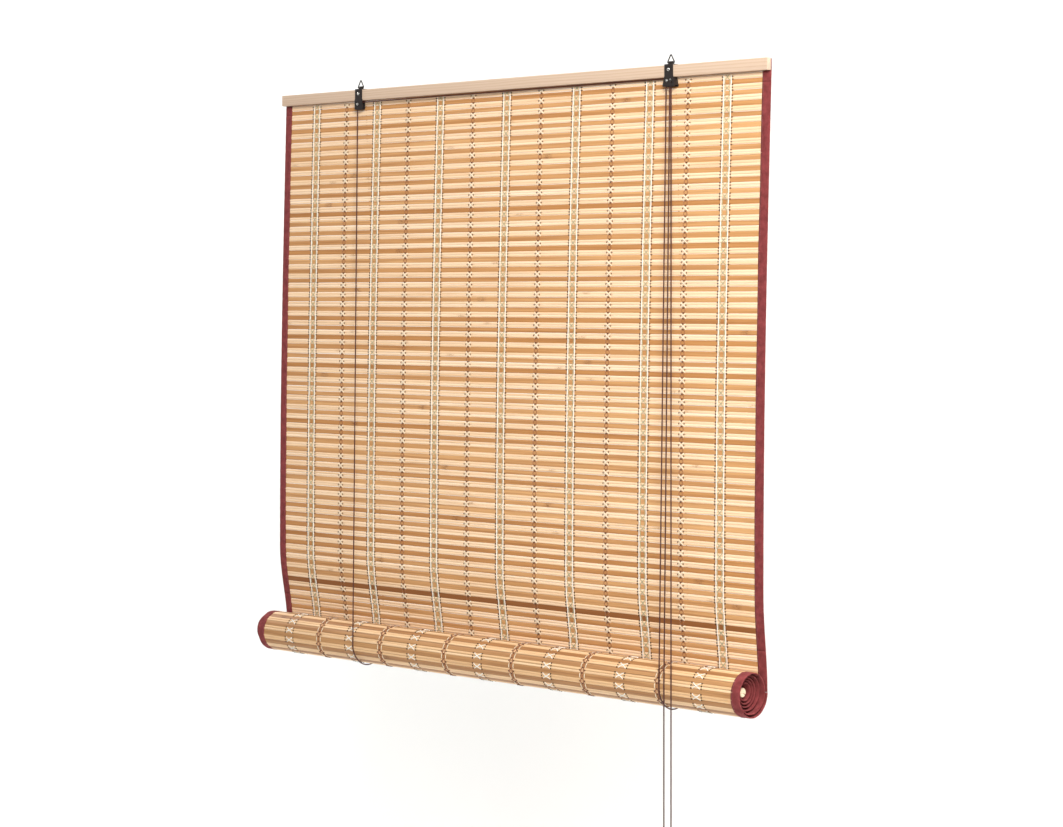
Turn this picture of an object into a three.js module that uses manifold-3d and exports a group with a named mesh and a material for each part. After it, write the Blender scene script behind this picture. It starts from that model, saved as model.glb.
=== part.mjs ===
// Cord-operated roll-up blind of woven bamboo, partly raised: a pine headrail, two lacquered steel
// brackets with hanging rings, a woven sheet that ends in a roll, and two lifting cords whose tails
// leave through the cord lock on the right.
// Millimetres. +X is to the right of a person facing the blind, -Y is towards them, +Z is up.
// The origin is the middle of the headrail's top face.

import * as THREE from "three";
import { mergeVertices } from "three/addons/utils/BufferGeometryUtils.js";
import Module from "manifold-3d";

// ---- Driving dimensions ----

const blindWidth = 1000; // over the two edge bindings, and the headrail's length
const gap = 0.3; // left between pieces that touch

// Headrail
const railHeight = 17.5;
const railDepth = 9;

// Woven sheet: one flat dark slat and two thin pale sticks in each period
const weavePeriod = 15.5;
const slatWidth = 6.4;
const slatThickness = 1.0;
const stickThickness = 1.8;
const stickGroove = 1.2; // thickness in the groove between the two sticks
const firstSlatBelowRail = 12.7; // headrail's bottom edge to the middle of the first dark slat
const sheetTopBelowRailTop = 1;
const bindingWidth = 15;
const bindingThickness = 2.1;

// The hanging sheet's shape: it leans into the room, then curls back behind the roll
const rollDrop = 890; // headrail's top to the roll's axis
const sheetLean = 17;
const sheetLeanRight = 2.5; // more lean at the right edge than in the middle, less at the left
const leanShare = 0.84; // share of the hanging height at which the lean is greatest

// Roll: a spiral that winds from its outside to a core that lies off centre
const rollRadius = 34;
const rollBackOffset = -4; // the roll's back from the sheet's plane at the headrail
const rollSkewDegrees = 0.69; // the right end lies nearer the room
const rollTurns = 5.5;
const coreRadius = 10.5;
const coreShift = new THREE.Vector2(-8.2, 3.7);
const battenRadius = 6.5;
const battenSlitWidth = 1.6;
const battenSlitDepth = 5;

// Staples that hold the sheet to the headrail
const stapleWidth = 10;
const stapleWire = 0.9;
const stapleLeg = 6;
const stapleDrop = 7;
const stapleEndInset = 50;
const stapleBracketSpace = 60;
const staplesBetweenBrackets = 4;

// Brackets: bent steel strap over the headrail and the sheet
const leftBracketX = -316;
const rightBracketX = 325;
const plate = 1.2;
const strapWidth = 15.5;
const backLegLength = 16;
const strapBend = 1.2;
const knuckleWidth = 8;
const knuckleWall = 1.2;
const ringWire = 0.9; // radius of the ring's wire
const ringHalfWidth = 6.9;
const ringHeight = 12.6;
const ringBend = 1.8;
const screwDrop = 6.5;
const screwRadius = 1.3;
const screwHeadRadius = 2.6;
const screwLength = 9;

// Pulley case under the left bracket
const caseTop = 16.4;
const caseBottom = 32.4;
const caseWidth = 17.5;
const leftAxleX = -2; // from the bracket's middle
const leftAxleDrop = 23.7;
const windowWidth = 2.2;
const windowHeight = 6;
const windowX = 4.6;

// Cord lock under the right bracket
const lockTop = 15.3;
const lockBottom = 31.2;
const lockBottomWidth = 23.5;
const rightAxleX = -3.6;
const rightAxleDrop = 22.5;
const lockRollerRadius = 2.4;
const lockRollerTeeth = 14;
const lockToothDepth = 0.35;
const lockPinRadius = 1;
const lockSlotX = 3.4; // upper end of the slanted slot, where the roller pinches the cords
const lockSlotDrop = 21.2;
const lockSlotDegrees = 60; // below the horizontal
const lockSlotTravel = 5;

// Pulleys
const grooveRadius = 2.2;
const flangeRadius = 4.3;
const grooveWidth = 3.3;
const flangeRim = 0.3;
const axleRadius = 1.1;
const rivetHeadRadius = 2.2;

// Cords
const cordRadius = 1;
const leftRollCordX = -270; // where the left cord lies under the roll
const rightRollCordX = 359;
const rightTailX = 368; // where the pull tails hang in front of the roll
const leftTailX = 381;
const knotRadius = 2.1;

// Pull knobs at the ends of the tails
const knobLength = 30;
const knobRadius = 7.5;
const knobNeckRadius = 3.6;
const rightKnobDrop = 1112;
const leftKnobDrop = 1150;

// ---- Places worked out from them ----

const sheetY = railDepth / 2 + 0.4 + bindingThickness / 2; // the sheet's middle plane at the top
const halfSheet = blindWidth / 2 - bindingWidth;
const rollMidRadius = rollRadius - bindingThickness / 2;
const rollY = sheetY + rollBackOffset - rollMidRadius;
const rollSkew = THREE.MathUtils.degToRad(rollSkewDegrees);
const firstSlatDrop = railHeight + firstSlatBelowRail;
const slingRadius = rollRadius + 0.4 + cordRadius;
const plateFrontY = -railDepth / 2 - gap - plate;
const crestZ = gap + plate;
const backLegY = sheetY + bindingThickness / 2 + 0.4;
const cordOnPulley = grooveRadius + cordRadius;
const pulleyFrontY = plateFrontY + plate + 0.4;
const leftPulleyWidth = grooveWidth + 0.6;
const rightPulleyWidth = 2 * grooveWidth;
const leftCaseBackY = pulleyFrontY + leftPulleyWidth + 0.4;
const lockCaseBackY = pulleyFrontY + rightPulleyWidth + 0.4;
const axleHole = axleRadius + gap;
const knuckleHole = ringWire + gap;
const knuckleZ = crestZ + knuckleHole + knuckleWall - 0.4;
const rollAxisY = (x) => rollY - x * Math.tan(rollSkew);

const X = new THREE.Vector3(1, 0, 0);
const Y = new THREE.Vector3(0, 1, 0);
const Z = new THREE.Vector3(0, 0, 1);
const v3 = (x, y, z) => new THREE.Vector3(x, y, z);

// ---- Materials ----

const finish = (color, roughness, metalness = 0) =>
  new THREE.MeshStandardMaterial({ color, roughness, metalness });
const pine = () => finish("#dcb88c", 0.6);
const bamboo = () => finish("#dcb07a", 0.55);
const burgundyCotton = () => finish("#84383c", 0.9);
const blackLacquer = () => finish("#1c1a1a", 0.35, 0.4);
const brightSteel = () => finish("#c4c4c2", 0.3, 1);
const brownCord = () => finish("#3a2320", 0.85);
const darkWood = () => finish("#5a3626", 0.45);

// ---- Solid helpers ----

const wasm = await Module();
wasm.setup();

function solid(geometry) {
  const loose = geometry.index ? geometry.toNonIndexed() : geometry;
  const bare = new THREE.BufferGeometry();
  bare.setAttribute("position", loose.getAttribute("position"));
  const merged = mergeVertices(bare, 1e-3);
  const mesh = new wasm.Mesh({
    numProp: 3,
    vertProperties: merged.attributes.position.array,
    triVerts: new Uint32Array(merged.index.array),
  });
  return new wasm.Manifold(mesh);
}

function geometryOf(manifold) {
  const mesh = manifold.getMesh();
  const geometry = new THREE.BufferGeometry();
  geometry.setAttribute("position", new THREE.Float32BufferAttribute(mesh.vertProperties, 3));
  geometry.setIndex([...mesh.triVerts]);
  return geometry;
}

const join = (...pieces) => geometryOf(pieces.map(solid).reduce((a, b) => a.add(b)));
const cut = (piece, ...tools) =>
  geometryOf(tools.map(solid).reduce((a, b) => a.subtract(b), solid(piece)));

// A flat outline given as [y, z] points or a Shape, carried from x0 to x1.
function alongX(outline, x0, x1, curveSegments = 6) {
  const shape = outline instanceof THREE.Shape ? outline : new THREE.Shape(outline);
  const settings = { depth: x1 - x0, bevelEnabled: false, curveSegments };
  const geometry = new THREE.ExtrudeGeometry(shape, settings);
  return geometry.applyMatrix4(new THREE.Matrix4().makeBasis(Y, Z, X)).translate(x0, 0, 0);
}

// A flat outline in x and z, carried from y0 to y1.
function alongY(shape, y0, y1, curveSegments = 6) {
  const settings = { depth: y1 - y0, bevelEnabled: false, curveSegments };
  const geometry = new THREE.ExtrudeGeometry(shape, settings);
  const turn = new THREE.Matrix4().makeBasis(X, Z, Y.clone().negate());
  return geometry.applyMatrix4(turn).translate(0, y1, 0);
}

// An outline whose corners are rounded to the radius given with each one: [x, z, radius].
function roundedShape(corners) {
  const shape = new THREE.Shape();
  corners.forEach(([x, z, radius], i) => {
    const here = new THREE.Vector2(x, z);
    const [px, pz] = corners.at(i - 1);
    const [nx, nz] = corners[(i + 1) % corners.length];
    const from = new THREE.Vector2(px - x, pz - z).setLength(radius).add(here);
    const to = new THREE.Vector2(nx - x, nz - z).setLength(radius).add(here);
    if (i === 0) shape.moveTo(from.x, from.y);
    else shape.lineTo(from.x, from.y);
    if (radius > 0) shape.quadraticCurveTo(here.x, here.y, to.x, to.y);
  });
  return shape;
}

const circle = (x, z, radius) => new THREE.Path().absarc(x, z, radius, 0, 2 * Math.PI, false);

function box(x0, x1, y0, y1, z0, z1) {
  const geometry = new THREE.BoxGeometry(x1 - x0, y1 - y0, z1 - z0);
  return geometry.translate((x0 + x1) / 2, (y0 + y1) / 2, (z0 + z1) / 2);
}

// A profile of [radius, height] pairs turned about an axis that starts as Y.
function turned(profile, segments) {
  const points = profile.map(([radius, height]) => new THREE.Vector2(radius, height));
  return new THREE.LatheGeometry(points, segments);
}

// A cord or wire along a curve.
function tube(path, radius, steps, sides = 8) {
  const corners = Array.from({ length: sides }, (_, i) => {
    const angle = (2 * Math.PI * i) / sides;
    return new THREE.Vector2(radius * Math.cos(angle), radius * Math.sin(angle));
  });
  const settings = { steps, bevelEnabled: false, extrudePath: path };
  return new THREE.ExtrudeGeometry(new THREE.Shape(corners), settings);
}

const blind = new THREE.Group();
const roll = new THREE.Group();
roll.position.set(0, rollY, -rollDrop);
roll.rotation.z = -rollSkew;
blind.add(roll);

function add(name, geometry, material, parent = blind) {
  const mesh = new THREE.Mesh(geometry, material);
  mesh.name = name;
  parent.add(mesh);
  return mesh;
}

// ---- Headrail and its staples ----

function staplePlaces() {
  const first = leftBracketX + stapleBracketSpace;
  const last = rightBracketX - stapleBracketSpace;
  const step = (last - first) / (staplesBetweenBrackets - 1);
  const between = Array.from({ length: staplesBetweenBrackets }, (_, i) => first + i * step);
  const end = blindWidth / 2 - stapleEndInset;
  return [-end, ...between, end];
}

// The two legs of a staple with room around them, as tools that cut the sheet and the headrail.
function stapleHoles(x, fromY, toY) {
  const legX = stapleWidth / 2 - stapleWire / 2;
  const half = stapleWire / 2 + gap;
  return [-legX, legX].map((offset) => {
    const middle = x + offset;
    return box(middle - half, middle + half, fromY, toY, -stapleDrop - half, -stapleDrop + half);
  });
}

function staple(x) {
  const crownY = sheetY + stickThickness / 2 + gap;
  const outer = stapleWidth / 2;
  const inner = outer - stapleWire;
  const tip = crownY - stapleLeg;
  const corners = [
    [-outer, crownY + stapleWire],
    [-outer, tip],
    [-inner, tip],
    [-inner, crownY],
    [inner, crownY],
    [inner, tip],
    [outer, tip],
    [outer, crownY + stapleWire],
  ];
  const shape = new THREE.Shape(corners.map(([px, py]) => new THREE.Vector2(px, py)));
  const geometry = new THREE.ExtrudeGeometry(shape, { depth: stapleWire, bevelEnabled: false });
  return geometry.translate(x, 0, -stapleDrop - stapleWire / 2);
}

function headrail() {
  const half = blindWidth / 2;
  const body = box(-half, half, -railDepth / 2, railDepth / 2, -railHeight, 0);
  const stapleTip = sheetY + stickThickness / 2 - stapleLeg;
  const legHoles = staplePlaces().flatMap((x) => stapleHoles(x, stapleTip - gap, railDepth));
  const hole = screwRadius + gap;
  const screwHoles = [leftBracketX, rightBracketX].map((x) =>
    alongY(
      new THREE.Shape().absarc(x, -screwDrop, hole, 0, 2 * Math.PI, false),
      -railDepth,
      plateFrontY + screwLength + gap,
    ),
  );
  return cut(body, ...legHoles, ...screwHoles);
}

add("headrail", headrail(), pine());
staplePlaces().forEach((x, i) => add(`staple_${i + 1}`, staple(x), brightSteel()));

// ---- Woven sheet ----

// Y of the sheet's middle at a height and a place across its width. It is plumb behind the headrail,
// leans out along a quarter sine wave, and curls back along a half cosine to the roll's back.
function hangingY(x, z) {
  const share = Math.max(0, (-z - railHeight) / (rollDrop - railHeight));
  const lean = sheetLean + (sheetLeanRight * x) / (blindWidth / 2);
  const back = rollAxisY(x) + rollMidRadius;
  if (share <= leanShare) return sheetY - lean * Math.sin((Math.PI / 2) * (share / leanShare));
  const curl = (1 + Math.cos((Math.PI * (share - leanShare)) / (1 - leanShare))) / 2;
  return back + (sheetY - lean - back) * curl;
}

// The hanging sheet's middle line at x = 0, by the distance below the headrail's top.
function hangingLine(distance) {
  const slope = hangingY(0, -distance - 0.5) - hangingY(0, -distance + 0.5);
  const normal = new THREE.Vector2(1, slope).normalize();
  return { point: new THREE.Vector2(hangingY(0, -distance), -distance), normal };
}

// Points of the roll's spiral: the circle shrinks and its middle moves to the core's as it winds
// from the back, under the roll and up its front.
function spiralPoint(turn) {
  const share = turn / rollTurns;
  const radius = rollMidRadius + (coreRadius - rollMidRadius) * share;
  const angle = -2 * Math.PI * turn;
  const middle = coreShift.clone().multiplyScalar(share);
  return middle.add(new THREE.Vector2(radius * Math.cos(angle), radius * Math.sin(angle)));
}

const spiralSamples = Array.from({ length: 1201 }, (_, i) => (i / 1200) * rollTurns);
const spiralLengths = [0];
for (let i = 1; i < spiralSamples.length; i += 1) {
  const step = spiralPoint(spiralSamples[i]).distanceTo(spiralPoint(spiralSamples[i - 1]));
  spiralLengths.push(spiralLengths[i - 1] + step);
}
const rolledLength = spiralLengths.at(-1);

// The spiral's middle line by the distance wound on from the roll's back.
function spiralLine(distance) {
  const found = spiralLengths.findIndex((length) => length >= distance);
  const i = Math.max(1, found);
  const share = (distance - spiralLengths[i - 1]) / (spiralLengths[i] - spiralLengths[i - 1]);
  const turn = THREE.MathUtils.lerp(spiralSamples[i - 1], spiralSamples[i], share);
  const ahead = spiralPoint(turn + 0.002).sub(spiralPoint(turn - 0.002));
  return { point: spiralPoint(turn), normal: new THREE.Vector2(-ahead.y, ahead.x).normalize() };
}

// Both faces of a strip that follows a line: stations are [distance, thickness].
function stripOutline(line, stations) {
  const side = (sign) =>
    stations.map(([distance, thickness]) => {
      const { point, normal } = line(distance);
      return point.clone().addScaledVector(normal, (sign * thickness) / 2);
    });
  return [...side(1), ...side(-1).reverse()];
}

// Stations of the weave between two distances, from the middle of any dark slat.
function weaveStations(start, end, slatAt) {
  const half = slatWidth / 2;
  const edge = half + 0.6;
  const first = Math.ceil((start - slatAt) / weavePeriod) - 1;
  const last = Math.floor((end - slatAt) / weavePeriod) + 1;
  const stations = [];
  for (let i = first; i <= last; i += 1) {
    const slat = slatAt + i * weavePeriod;
    stations.push([slat - half, slatThickness]);
    stations.push([slat + half, slatThickness]);
    stations.push([slat + edge, stickThickness]);
    stations.push([slat + weavePeriod / 2, stickGroove]);
    stations.push([slat + weavePeriod - edge, stickThickness]);
  }
  const inside = stations.filter(([distance]) => distance > start + 0.3 && distance < end - 0.3);
  return [[start, stickThickness], ...inside, [end, stickThickness]];
}

function evenStations(start, end, step, thickness) {
  const count = Math.ceil((end - start) / step);
  return Array.from({ length: count + 1 }, (_, i) => [
    start + ((end - start) * i) / count,
    thickness,
  ]);
}

// Moves a hanging strip's points to where the sheet lies at their own place across the width.
function followWidth(geometry) {
  const position = geometry.getAttribute("position");
  for (let i = 0; i < position.count; i += 1) {
    const x = position.getX(i);
    const z = position.getZ(i);
    position.setY(i, position.getY(i) + hangingY(x, z) - hangingY(0, z));
  }
  return geometry;
}

const hangingStart = sheetTopBelowRailTop;
const hangingEnd = rollDrop - gap;
const edge = blindWidth / 2;
const bindingInner = edge - bindingWidth + gap;

const hangingWeave = stripOutline(hangingLine, weaveStations(hangingStart, hangingEnd, firstSlatDrop));
const sheetHoles = staplePlaces().flatMap((x) => stapleHoles(x, railDepth / 2, backLegY));
const hangingSheet = followWidth(alongX(hangingWeave, -halfSheet, halfSheet));
add("hanging_sheet", cut(hangingSheet, ...sheetHoles), bamboo());

const hangingTape = stripOutline(hangingLine, [
  [hangingStart, bindingThickness],
  ...evenStations(railHeight, hangingEnd, 45, bindingThickness),
]);
add("hanging_binding_left", followWidth(alongX(hangingTape, -edge, -bindingInner)), burgundyCotton());
add("hanging_binding_right", followWidth(alongX(hangingTape, bindingInner, edge)), burgundyCotton());

// ---- Roll ----

const slatsAbove = Math.floor((rollDrop - firstSlatDrop) / weavePeriod);
const slatPastTangent = firstSlatDrop + (slatsAbove + 1) * weavePeriod - rollDrop;
const rolledWeave = stripOutline(spiralLine, weaveStations(gap, rolledLength, slatPastTangent));
add("rolled_sheet", alongX(rolledWeave, -halfSheet, halfSheet), bamboo(), roll);

const rolledTape = stripOutline(spiralLine, evenStations(gap, rolledLength, 7, bindingThickness));
add("rolled_binding_left", alongX(rolledTape, -edge, -bindingInner), burgundyCotton(), roll);
add("rolled_binding_right", alongX(rolledTape, bindingInner, edge), burgundyCotton(), roll);

// The batten at the sheet's bottom edge, a dowel with a slit for it, beside the spiral's inner end.
function bottomBatten() {
  const room = coreRadius - bindingThickness / 2 - 0.6 - battenRadius;
  const y = coreShift.x - room;
  const z = coreShift.y;
  const dowel = new THREE.Shape().absarc(y, z, battenRadius, 0, 2 * Math.PI, false);
  const half = battenSlitWidth / 2;
  const slitEnd = y - battenRadius + battenSlitDepth;
  const slit = [
    new THREE.Vector2(y - 2 * battenRadius, z - half),
    new THREE.Vector2(slitEnd, z - half),
    new THREE.Vector2(slitEnd, z + half),
    new THREE.Vector2(y - 2 * battenRadius, z + half),
  ];
  const length = edge - 1;
  return cut(alongX(dowel, -length, length, 12), alongX(slit, -edge, edge));
}

add("bottom_batten", bottomBatten(), pine(), roll);

// ---- Brackets ----

// The strap's crest over the headrail, its back leg behind the sheet and the knuckle for the ring.
function strap(middleX) {
  const x0 = middleX - strapWidth / 2;
  const x1 = middleX + strapWidth / 2;
  const back = backLegY + plate;
  const section = roundedShape([
    [plateFrontY, crestZ - plate - 2, 0],
    [plateFrontY, crestZ, strapBend],
    [back, crestZ, strapBend],
    [back, crestZ - backLegLength, 0],
    [backLegY, crestZ - backLegLength, 0],
    [backLegY, crestZ - plate, 0],
    [plateFrontY + plate, crestZ - plate, 0],
    [plateFrontY + plate, crestZ - plate - 2, 0],
  ]);
  const knotHole = new THREE.Shape().absarc(middleX, -backLegLength / 2, cordRadius + gap, 0, 2 * Math.PI);
  const leg = cut(alongX(section, x0, x1, 3), alongY(knotHole, sheetY, 2 * backLegY, 6));
  const knuckle = new THREE.Shape().absarc(0, knuckleZ, knuckleHole + knuckleWall, 0, 2 * Math.PI);
  knuckle.holes.push(circle(0, knuckleZ, knuckleHole));
  const curl = alongX(knuckle, middleX - knuckleWidth / 2, middleX + knuckleWidth / 2, 7);
  return join(leg, curl);
}

// A bracket: its front plate, given as an outline with holes about the bracket's middle, and strap.
function bracket(middleX, outline) {
  const front = alongY(outline, plateFrontY, plateFrontY + plate, 6).translate(middleX, 0, 0);
  return join(front, strap(middleX));
}

// A steel wheel with its grooves, turned about Y from its front face backwards.
function pulley(grooves, width) {
  const pitch = width / grooves;
  const rootHalf = cordRadius + 0.15;
  const profile = [
    [axleHole, 0],
    [flangeRadius, 0],
  ];
  for (let i = 0; i < grooves; i += 1) {
    const middle = pitch * (i + 0.5);
    const half = pitch / 2;
    profile.push([flangeRadius, middle - half + flangeRim]);
    profile.push([grooveRadius, middle - rootHalf]);
    profile.push([grooveRadius, middle + rootHalf]);
    profile.push([flangeRadius, middle + half - flangeRim]);
  }
  profile.push([flangeRadius, width], [axleHole, width], [axleHole, 0]);
  return turned(profile, 20);
}

// A rivet along Y: a domed head in front, its shank, and a flat head behind the case.
function rivet(headRadius, shankRadius, backY) {
  const front = plateFrontY - gap;
  const tail = backY + gap;
  return turned(
    [
      [0, front - 0.9],
      [headRadius * 0.6, front - 0.8],
      [headRadius, front - 0.3],
      [headRadius, front],
      [shankRadius, front],
      [shankRadius, tail],
      [headRadius * 0.85, tail],
      [headRadius * 0.85, tail + 0.6],
      [0, tail + 0.6],
    ],
    14,
  );
}

function screw() {
  const front = plateFrontY - gap;
  return turned(
    [
      [0, front - 1.3],
      [screwHeadRadius * 0.6, front - 1.1],
      [screwHeadRadius, front - 0.4],
      [screwHeadRadius, front],
      [screwRadius, front],
      [screwRadius, front + screwLength - 2],
      [0, front + screwLength],
    ],
    14,
  );
}

// A triangular ring of wire whose straight side runs through the knuckle, with its ends butted there.
function ringPath() {
  const corners = [v3(ringHalfWidth, 0, 0), v3(0, 0, ringHeight), v3(-ringHalfWidth, 0, 0)];
  const ends = [v3(gap / 2, 0, 0), v3(-gap / 2, 0, 0)];
  const stops = [ends[0], ...corners, ends[1]];
  const path = new THREE.CurvePath();
  let from = ends[0];
  for (let i = 1; i < stops.length - 1; i += 1) {
    const corner = stops[i];
    const before = stops[i - 1].clone().sub(corner).setLength(ringBend).add(corner);
    const after = stops[i + 1].clone().sub(corner).setLength(ringBend).add(corner);
    path.add(new THREE.LineCurve3(from, before));
    path.add(new THREE.QuadraticBezierCurve3(before, corner, after));
    from = after;
  }
  path.add(new THREE.LineCurve3(from, ends[1]));
  return path;
}

function addFittings(side, middleX, axleX, axleDrop, grooves, pulleyWidth, caseBackY) {
  const axle = rivet(rivetHeadRadius, axleRadius, caseBackY + plate);
  add(`${side}_pulley_axle`, axle.translate(middleX + axleX, 0, -axleDrop), brightSteel());
  const wheel = add(`${side}_pulley`, pulley(grooves, pulleyWidth), brightSteel());
  wheel.position.set(middleX + axleX, pulleyFrontY, -axleDrop);
  const fixing = add(`${side}_bracket_screw`, screw(), brightSteel());
  fixing.position.set(middleX, 0, -screwDrop);
  const ring = add(`${side}_hanging_ring`, tube(ringPath(), ringWire, 26), blackLacquer());
  ring.position.set(middleX, 0, knuckleZ);
}

// Left bracket: its plate widens into the front of a pulley case.
function leftPlate() {
  const half = strapWidth / 2;
  const wide = caseWidth / 2;
  const top = crestZ - strapBend;
  const shape = roundedShape([
    [-half, top, 0],
    [-half, -caseTop + 1, 0],
    [-wide, -caseTop, 0.8],
    [-wide, -caseBottom, 3],
    [wide, -caseBottom, 3],
    [wide, -caseTop, 0.8],
    [half, -caseTop + 1, 0],
    [half, top, 0],
  ]);
  shape.holes.push(circle(0, -screwDrop, screwRadius + gap));
  shape.holes.push(circle(leftAxleX, -leftAxleDrop, axleHole));
  const middle = -leftAxleDrop;
  const tall = windowHeight / 2;
  const window = new THREE.Path();
  window.moveTo(windowX - windowWidth, middle - tall);
  window.quadraticCurveTo(windowX + windowWidth, middle, windowX - windowWidth, middle + tall);
  window.quadraticCurveTo(windowX, middle, windowX - windowWidth, middle - tall);
  shape.holes.push(window);
  return shape;
}

// The case's back plate and the cheek on one side, bent from one sheet: the cord leaves by the other.
function leftCase() {
  const wide = caseWidth / 2;
  const top = -railHeight - 0.4;
  const outline = roundedShape([
    [-wide, top, 0],
    [-wide, -caseBottom, 3],
    [wide, -caseBottom, 3],
    [wide, top, 0],
  ]);
  outline.holes.push(circle(leftAxleX, -leftAxleDrop, axleHole));
  const back = alongY(outline, leftCaseBackY, leftCaseBackY + plate);
  const cheekBottom = -caseBottom + 3;
  const cheekFront = plateFrontY + plate + gap;
  const cheek = box(-wide, -wide + plate, cheekFront, leftCaseBackY + plate / 2, cheekBottom, top);
  return join(back, cheek).translate(leftBracketX, 0, 0);
}

add("left_bracket", bracket(leftBracketX, leftPlate()), blackLacquer());
add("left_pulley_case", leftCase(), blackLacquer());
addFittings("left", leftBracketX, leftAxleX, leftAxleDrop, 1, leftPulleyWidth, leftCaseBackY);

// Right bracket: its plate flares into the front of the cord lock, with a slanted slot for the roller.
const slotAngle = THREE.MathUtils.degToRad(lockSlotDegrees);
const slotDirection = new THREE.Vector2(Math.cos(slotAngle), -Math.sin(slotAngle));
const slotTop = new THREE.Vector2(lockSlotX, -lockSlotDrop);

function lockSlot() {
  const half = lockPinRadius + gap;
  const path = new THREE.Path();
  const end = slotTop.clone().addScaledVector(slotDirection, lockSlotTravel);
  const turn = Math.PI / 2 - slotAngle;
  path.absarc(slotTop.x, slotTop.y, half, turn, turn + Math.PI, false);
  path.absarc(end.x, end.y, half, turn + Math.PI, turn + 2 * Math.PI, false);
  path.closePath();
  return path;
}

const lockHalfWidth = (z) => {
  const share = (-z - lockTop) / (lockBottom - lockTop);
  return THREE.MathUtils.lerp(strapWidth / 2, lockBottomWidth / 2, share);
};

function rightPlate() {
  const half = strapWidth / 2;
  const wide = lockBottomWidth / 2;
  const top = crestZ - strapBend;
  const shape = roundedShape([
    [-half, top, 0],
    [-half, -lockTop, 1],
    [-wide, -lockBottom, 2],
    [wide, -lockBottom, 2],
    [half, -lockTop, 1],
    [half, top, 0],
  ]);
  shape.holes.push(circle(0, -screwDrop, screwRadius + gap));
  shape.holes.push(circle(rightAxleX, -rightAxleDrop, axleHole));
  shape.holes.push(lockSlot());
  return shape;
}

// The lock's back plate, and the slanted cheek on its right side.
function lockCase() {
  const top = -railHeight - 0.4;
  const topHalf = lockHalfWidth(top);
  const wide = lockBottomWidth / 2;
  const outline = roundedShape([
    [-topHalf, top, 0],
    [-wide, -lockBottom, 2],
    [wide, -lockBottom, 2],
    [topHalf, top, 0],
  ]);
  outline.holes.push(circle(rightAxleX, -rightAxleDrop, axleHole));
  outline.holes.push(lockSlot());
  const back = alongY(outline, lockCaseBackY, lockCaseBackY + plate);
  const cheekBottom = -lockBottom + 2;
  const bottomHalf = lockHalfWidth(cheekBottom);
  const cheekOutline = roundedShape([
    [topHalf - plate, top, 0],
    [bottomHalf - plate, cheekBottom, 0],
    [bottomHalf, cheekBottom, 0],
    [topHalf, top, 0],
  ]);
  const cheekFront = plateFrontY + plate + gap;
  const cheek = alongY(cheekOutline, cheekFront, lockCaseBackY + plate / 2);
  return join(back, cheek).translate(rightBracketX, 0, 0);
}

// The toothed roller with the pin that slides in both slots.
function lockRoller() {
  const corners = Array.from({ length: 2 * lockRollerTeeth }, (_, i) => {
    const angle = (Math.PI * i) / lockRollerTeeth;
    const radius = lockRollerRadius - (i % 2) * lockToothDepth;
    return new THREE.Vector2(radius * Math.cos(angle), radius * Math.sin(angle));
  });
  const teeth = alongY(new THREE.Shape(corners), pulleyFrontY, pulleyFrontY + rightPulleyWidth);
  const headFront = plateFrontY - gap - 0.7;
  const tail = lockCaseBackY + plate + 0.8;
  const pin = turned(
    [
      [0, headFront],
      [lockPinRadius + 0.5, headFront + 0.2],
      [lockPinRadius + 0.5, headFront + 0.7],
      [lockPinRadius, headFront + 0.7],
      [lockPinRadius, tail],
      [0, tail],
    ],
    12,
  );
  return join(teeth, pin);
}

add("right_bracket", bracket(rightBracketX, rightPlate()), blackLacquer());
add("lock_case", lockCase(), blackLacquer());
addFittings("right", rightBracketX, rightAxleX, rightAxleDrop, 2, rightPulleyWidth, lockCaseBackY);
const roller = add("lock_roller", lockRoller(), brightSteel());
roller.position.set(rightBracketX + slotTop.x, 0, slotTop.y);

// ---- Lifting cords ----

const leftGrooveY = pulleyFrontY + leftPulleyWidth / 2;
const rightGrooveY = pulleyFrontY + grooveWidth / 2;
const crossGrooveY = pulleyFrontY + 1.5 * grooveWidth;
const leftWheelX = leftBracketX + leftAxleX;
const rightWheelX = rightBracketX + rightAxleX;
const caseMouth = 1.5; // a cord's solid starts this far below its axle, clear of the wheel's groove

function addCord(name, points, steps) {
  const path =
    points.length === 2
      ? new THREE.LineCurve3(...points)
      : new THREE.CatmullRomCurve3(points, false, "centripetal");
  add(name, tube(path, cordRadius, steps), brownCord());
}

// The sling under the roll: a half circle from its back to its front.
function addSling(name, x) {
  const count = 16;
  const points = Array.from({ length: count + 1 }, (_, i) => {
    const angle = -(Math.PI * i) / count;
    const y = rollAxisY(x) + slingRadius * Math.cos(angle);
    return v3(x, y, -rollDrop + slingRadius * Math.sin(angle));
  });
  addCord(name, points, count);
}

// One side's lifting cord: down the sheet's back from the bracket, under the roll and up its front.
function addLiftingCord(side, middleX, wheelX, wheelDrop, grooveY, rollX) {
  const knotY = backLegY + plate + gap;
  const backTop = v3(middleX, knotY + knotRadius, -backLegLength / 2 - knotRadius - gap);
  const backEnd = v3(rollX, rollAxisY(rollX) + slingRadius, -rollDrop + gap);
  addCord(`${side}_back_cord`, [backTop, backEnd], 3);
  const frontTop = v3(wheelX - cordOnPulley, grooveY, -wheelDrop - caseMouth);
  const frontEnd = v3(rollX, rollAxisY(rollX) - slingRadius, -rollDrop + gap);
  addCord(`${side}_front_cord`, [frontTop, frontEnd], 3);
  addSling(`${side}_sling`, rollX);
  const neck = knotRadius * 0.5;
  const knot = turned(
    [
      [0, backLegY + gap],
      [cordRadius, backLegY + gap],
      [cordRadius, knotY],
      [knotRadius * 0.8, knotY + neck * 0.6],
      [knotRadius, knotY + knotRadius],
      [knotRadius * 0.7, knotY + knotRadius * 1.7],
      [0, knotY + knotRadius * 2],
    ],
    12,
  );
  add(`${side}_back_knot`, knot.translate(middleX, 0, -backLegLength / 2), brownCord());
}

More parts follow.
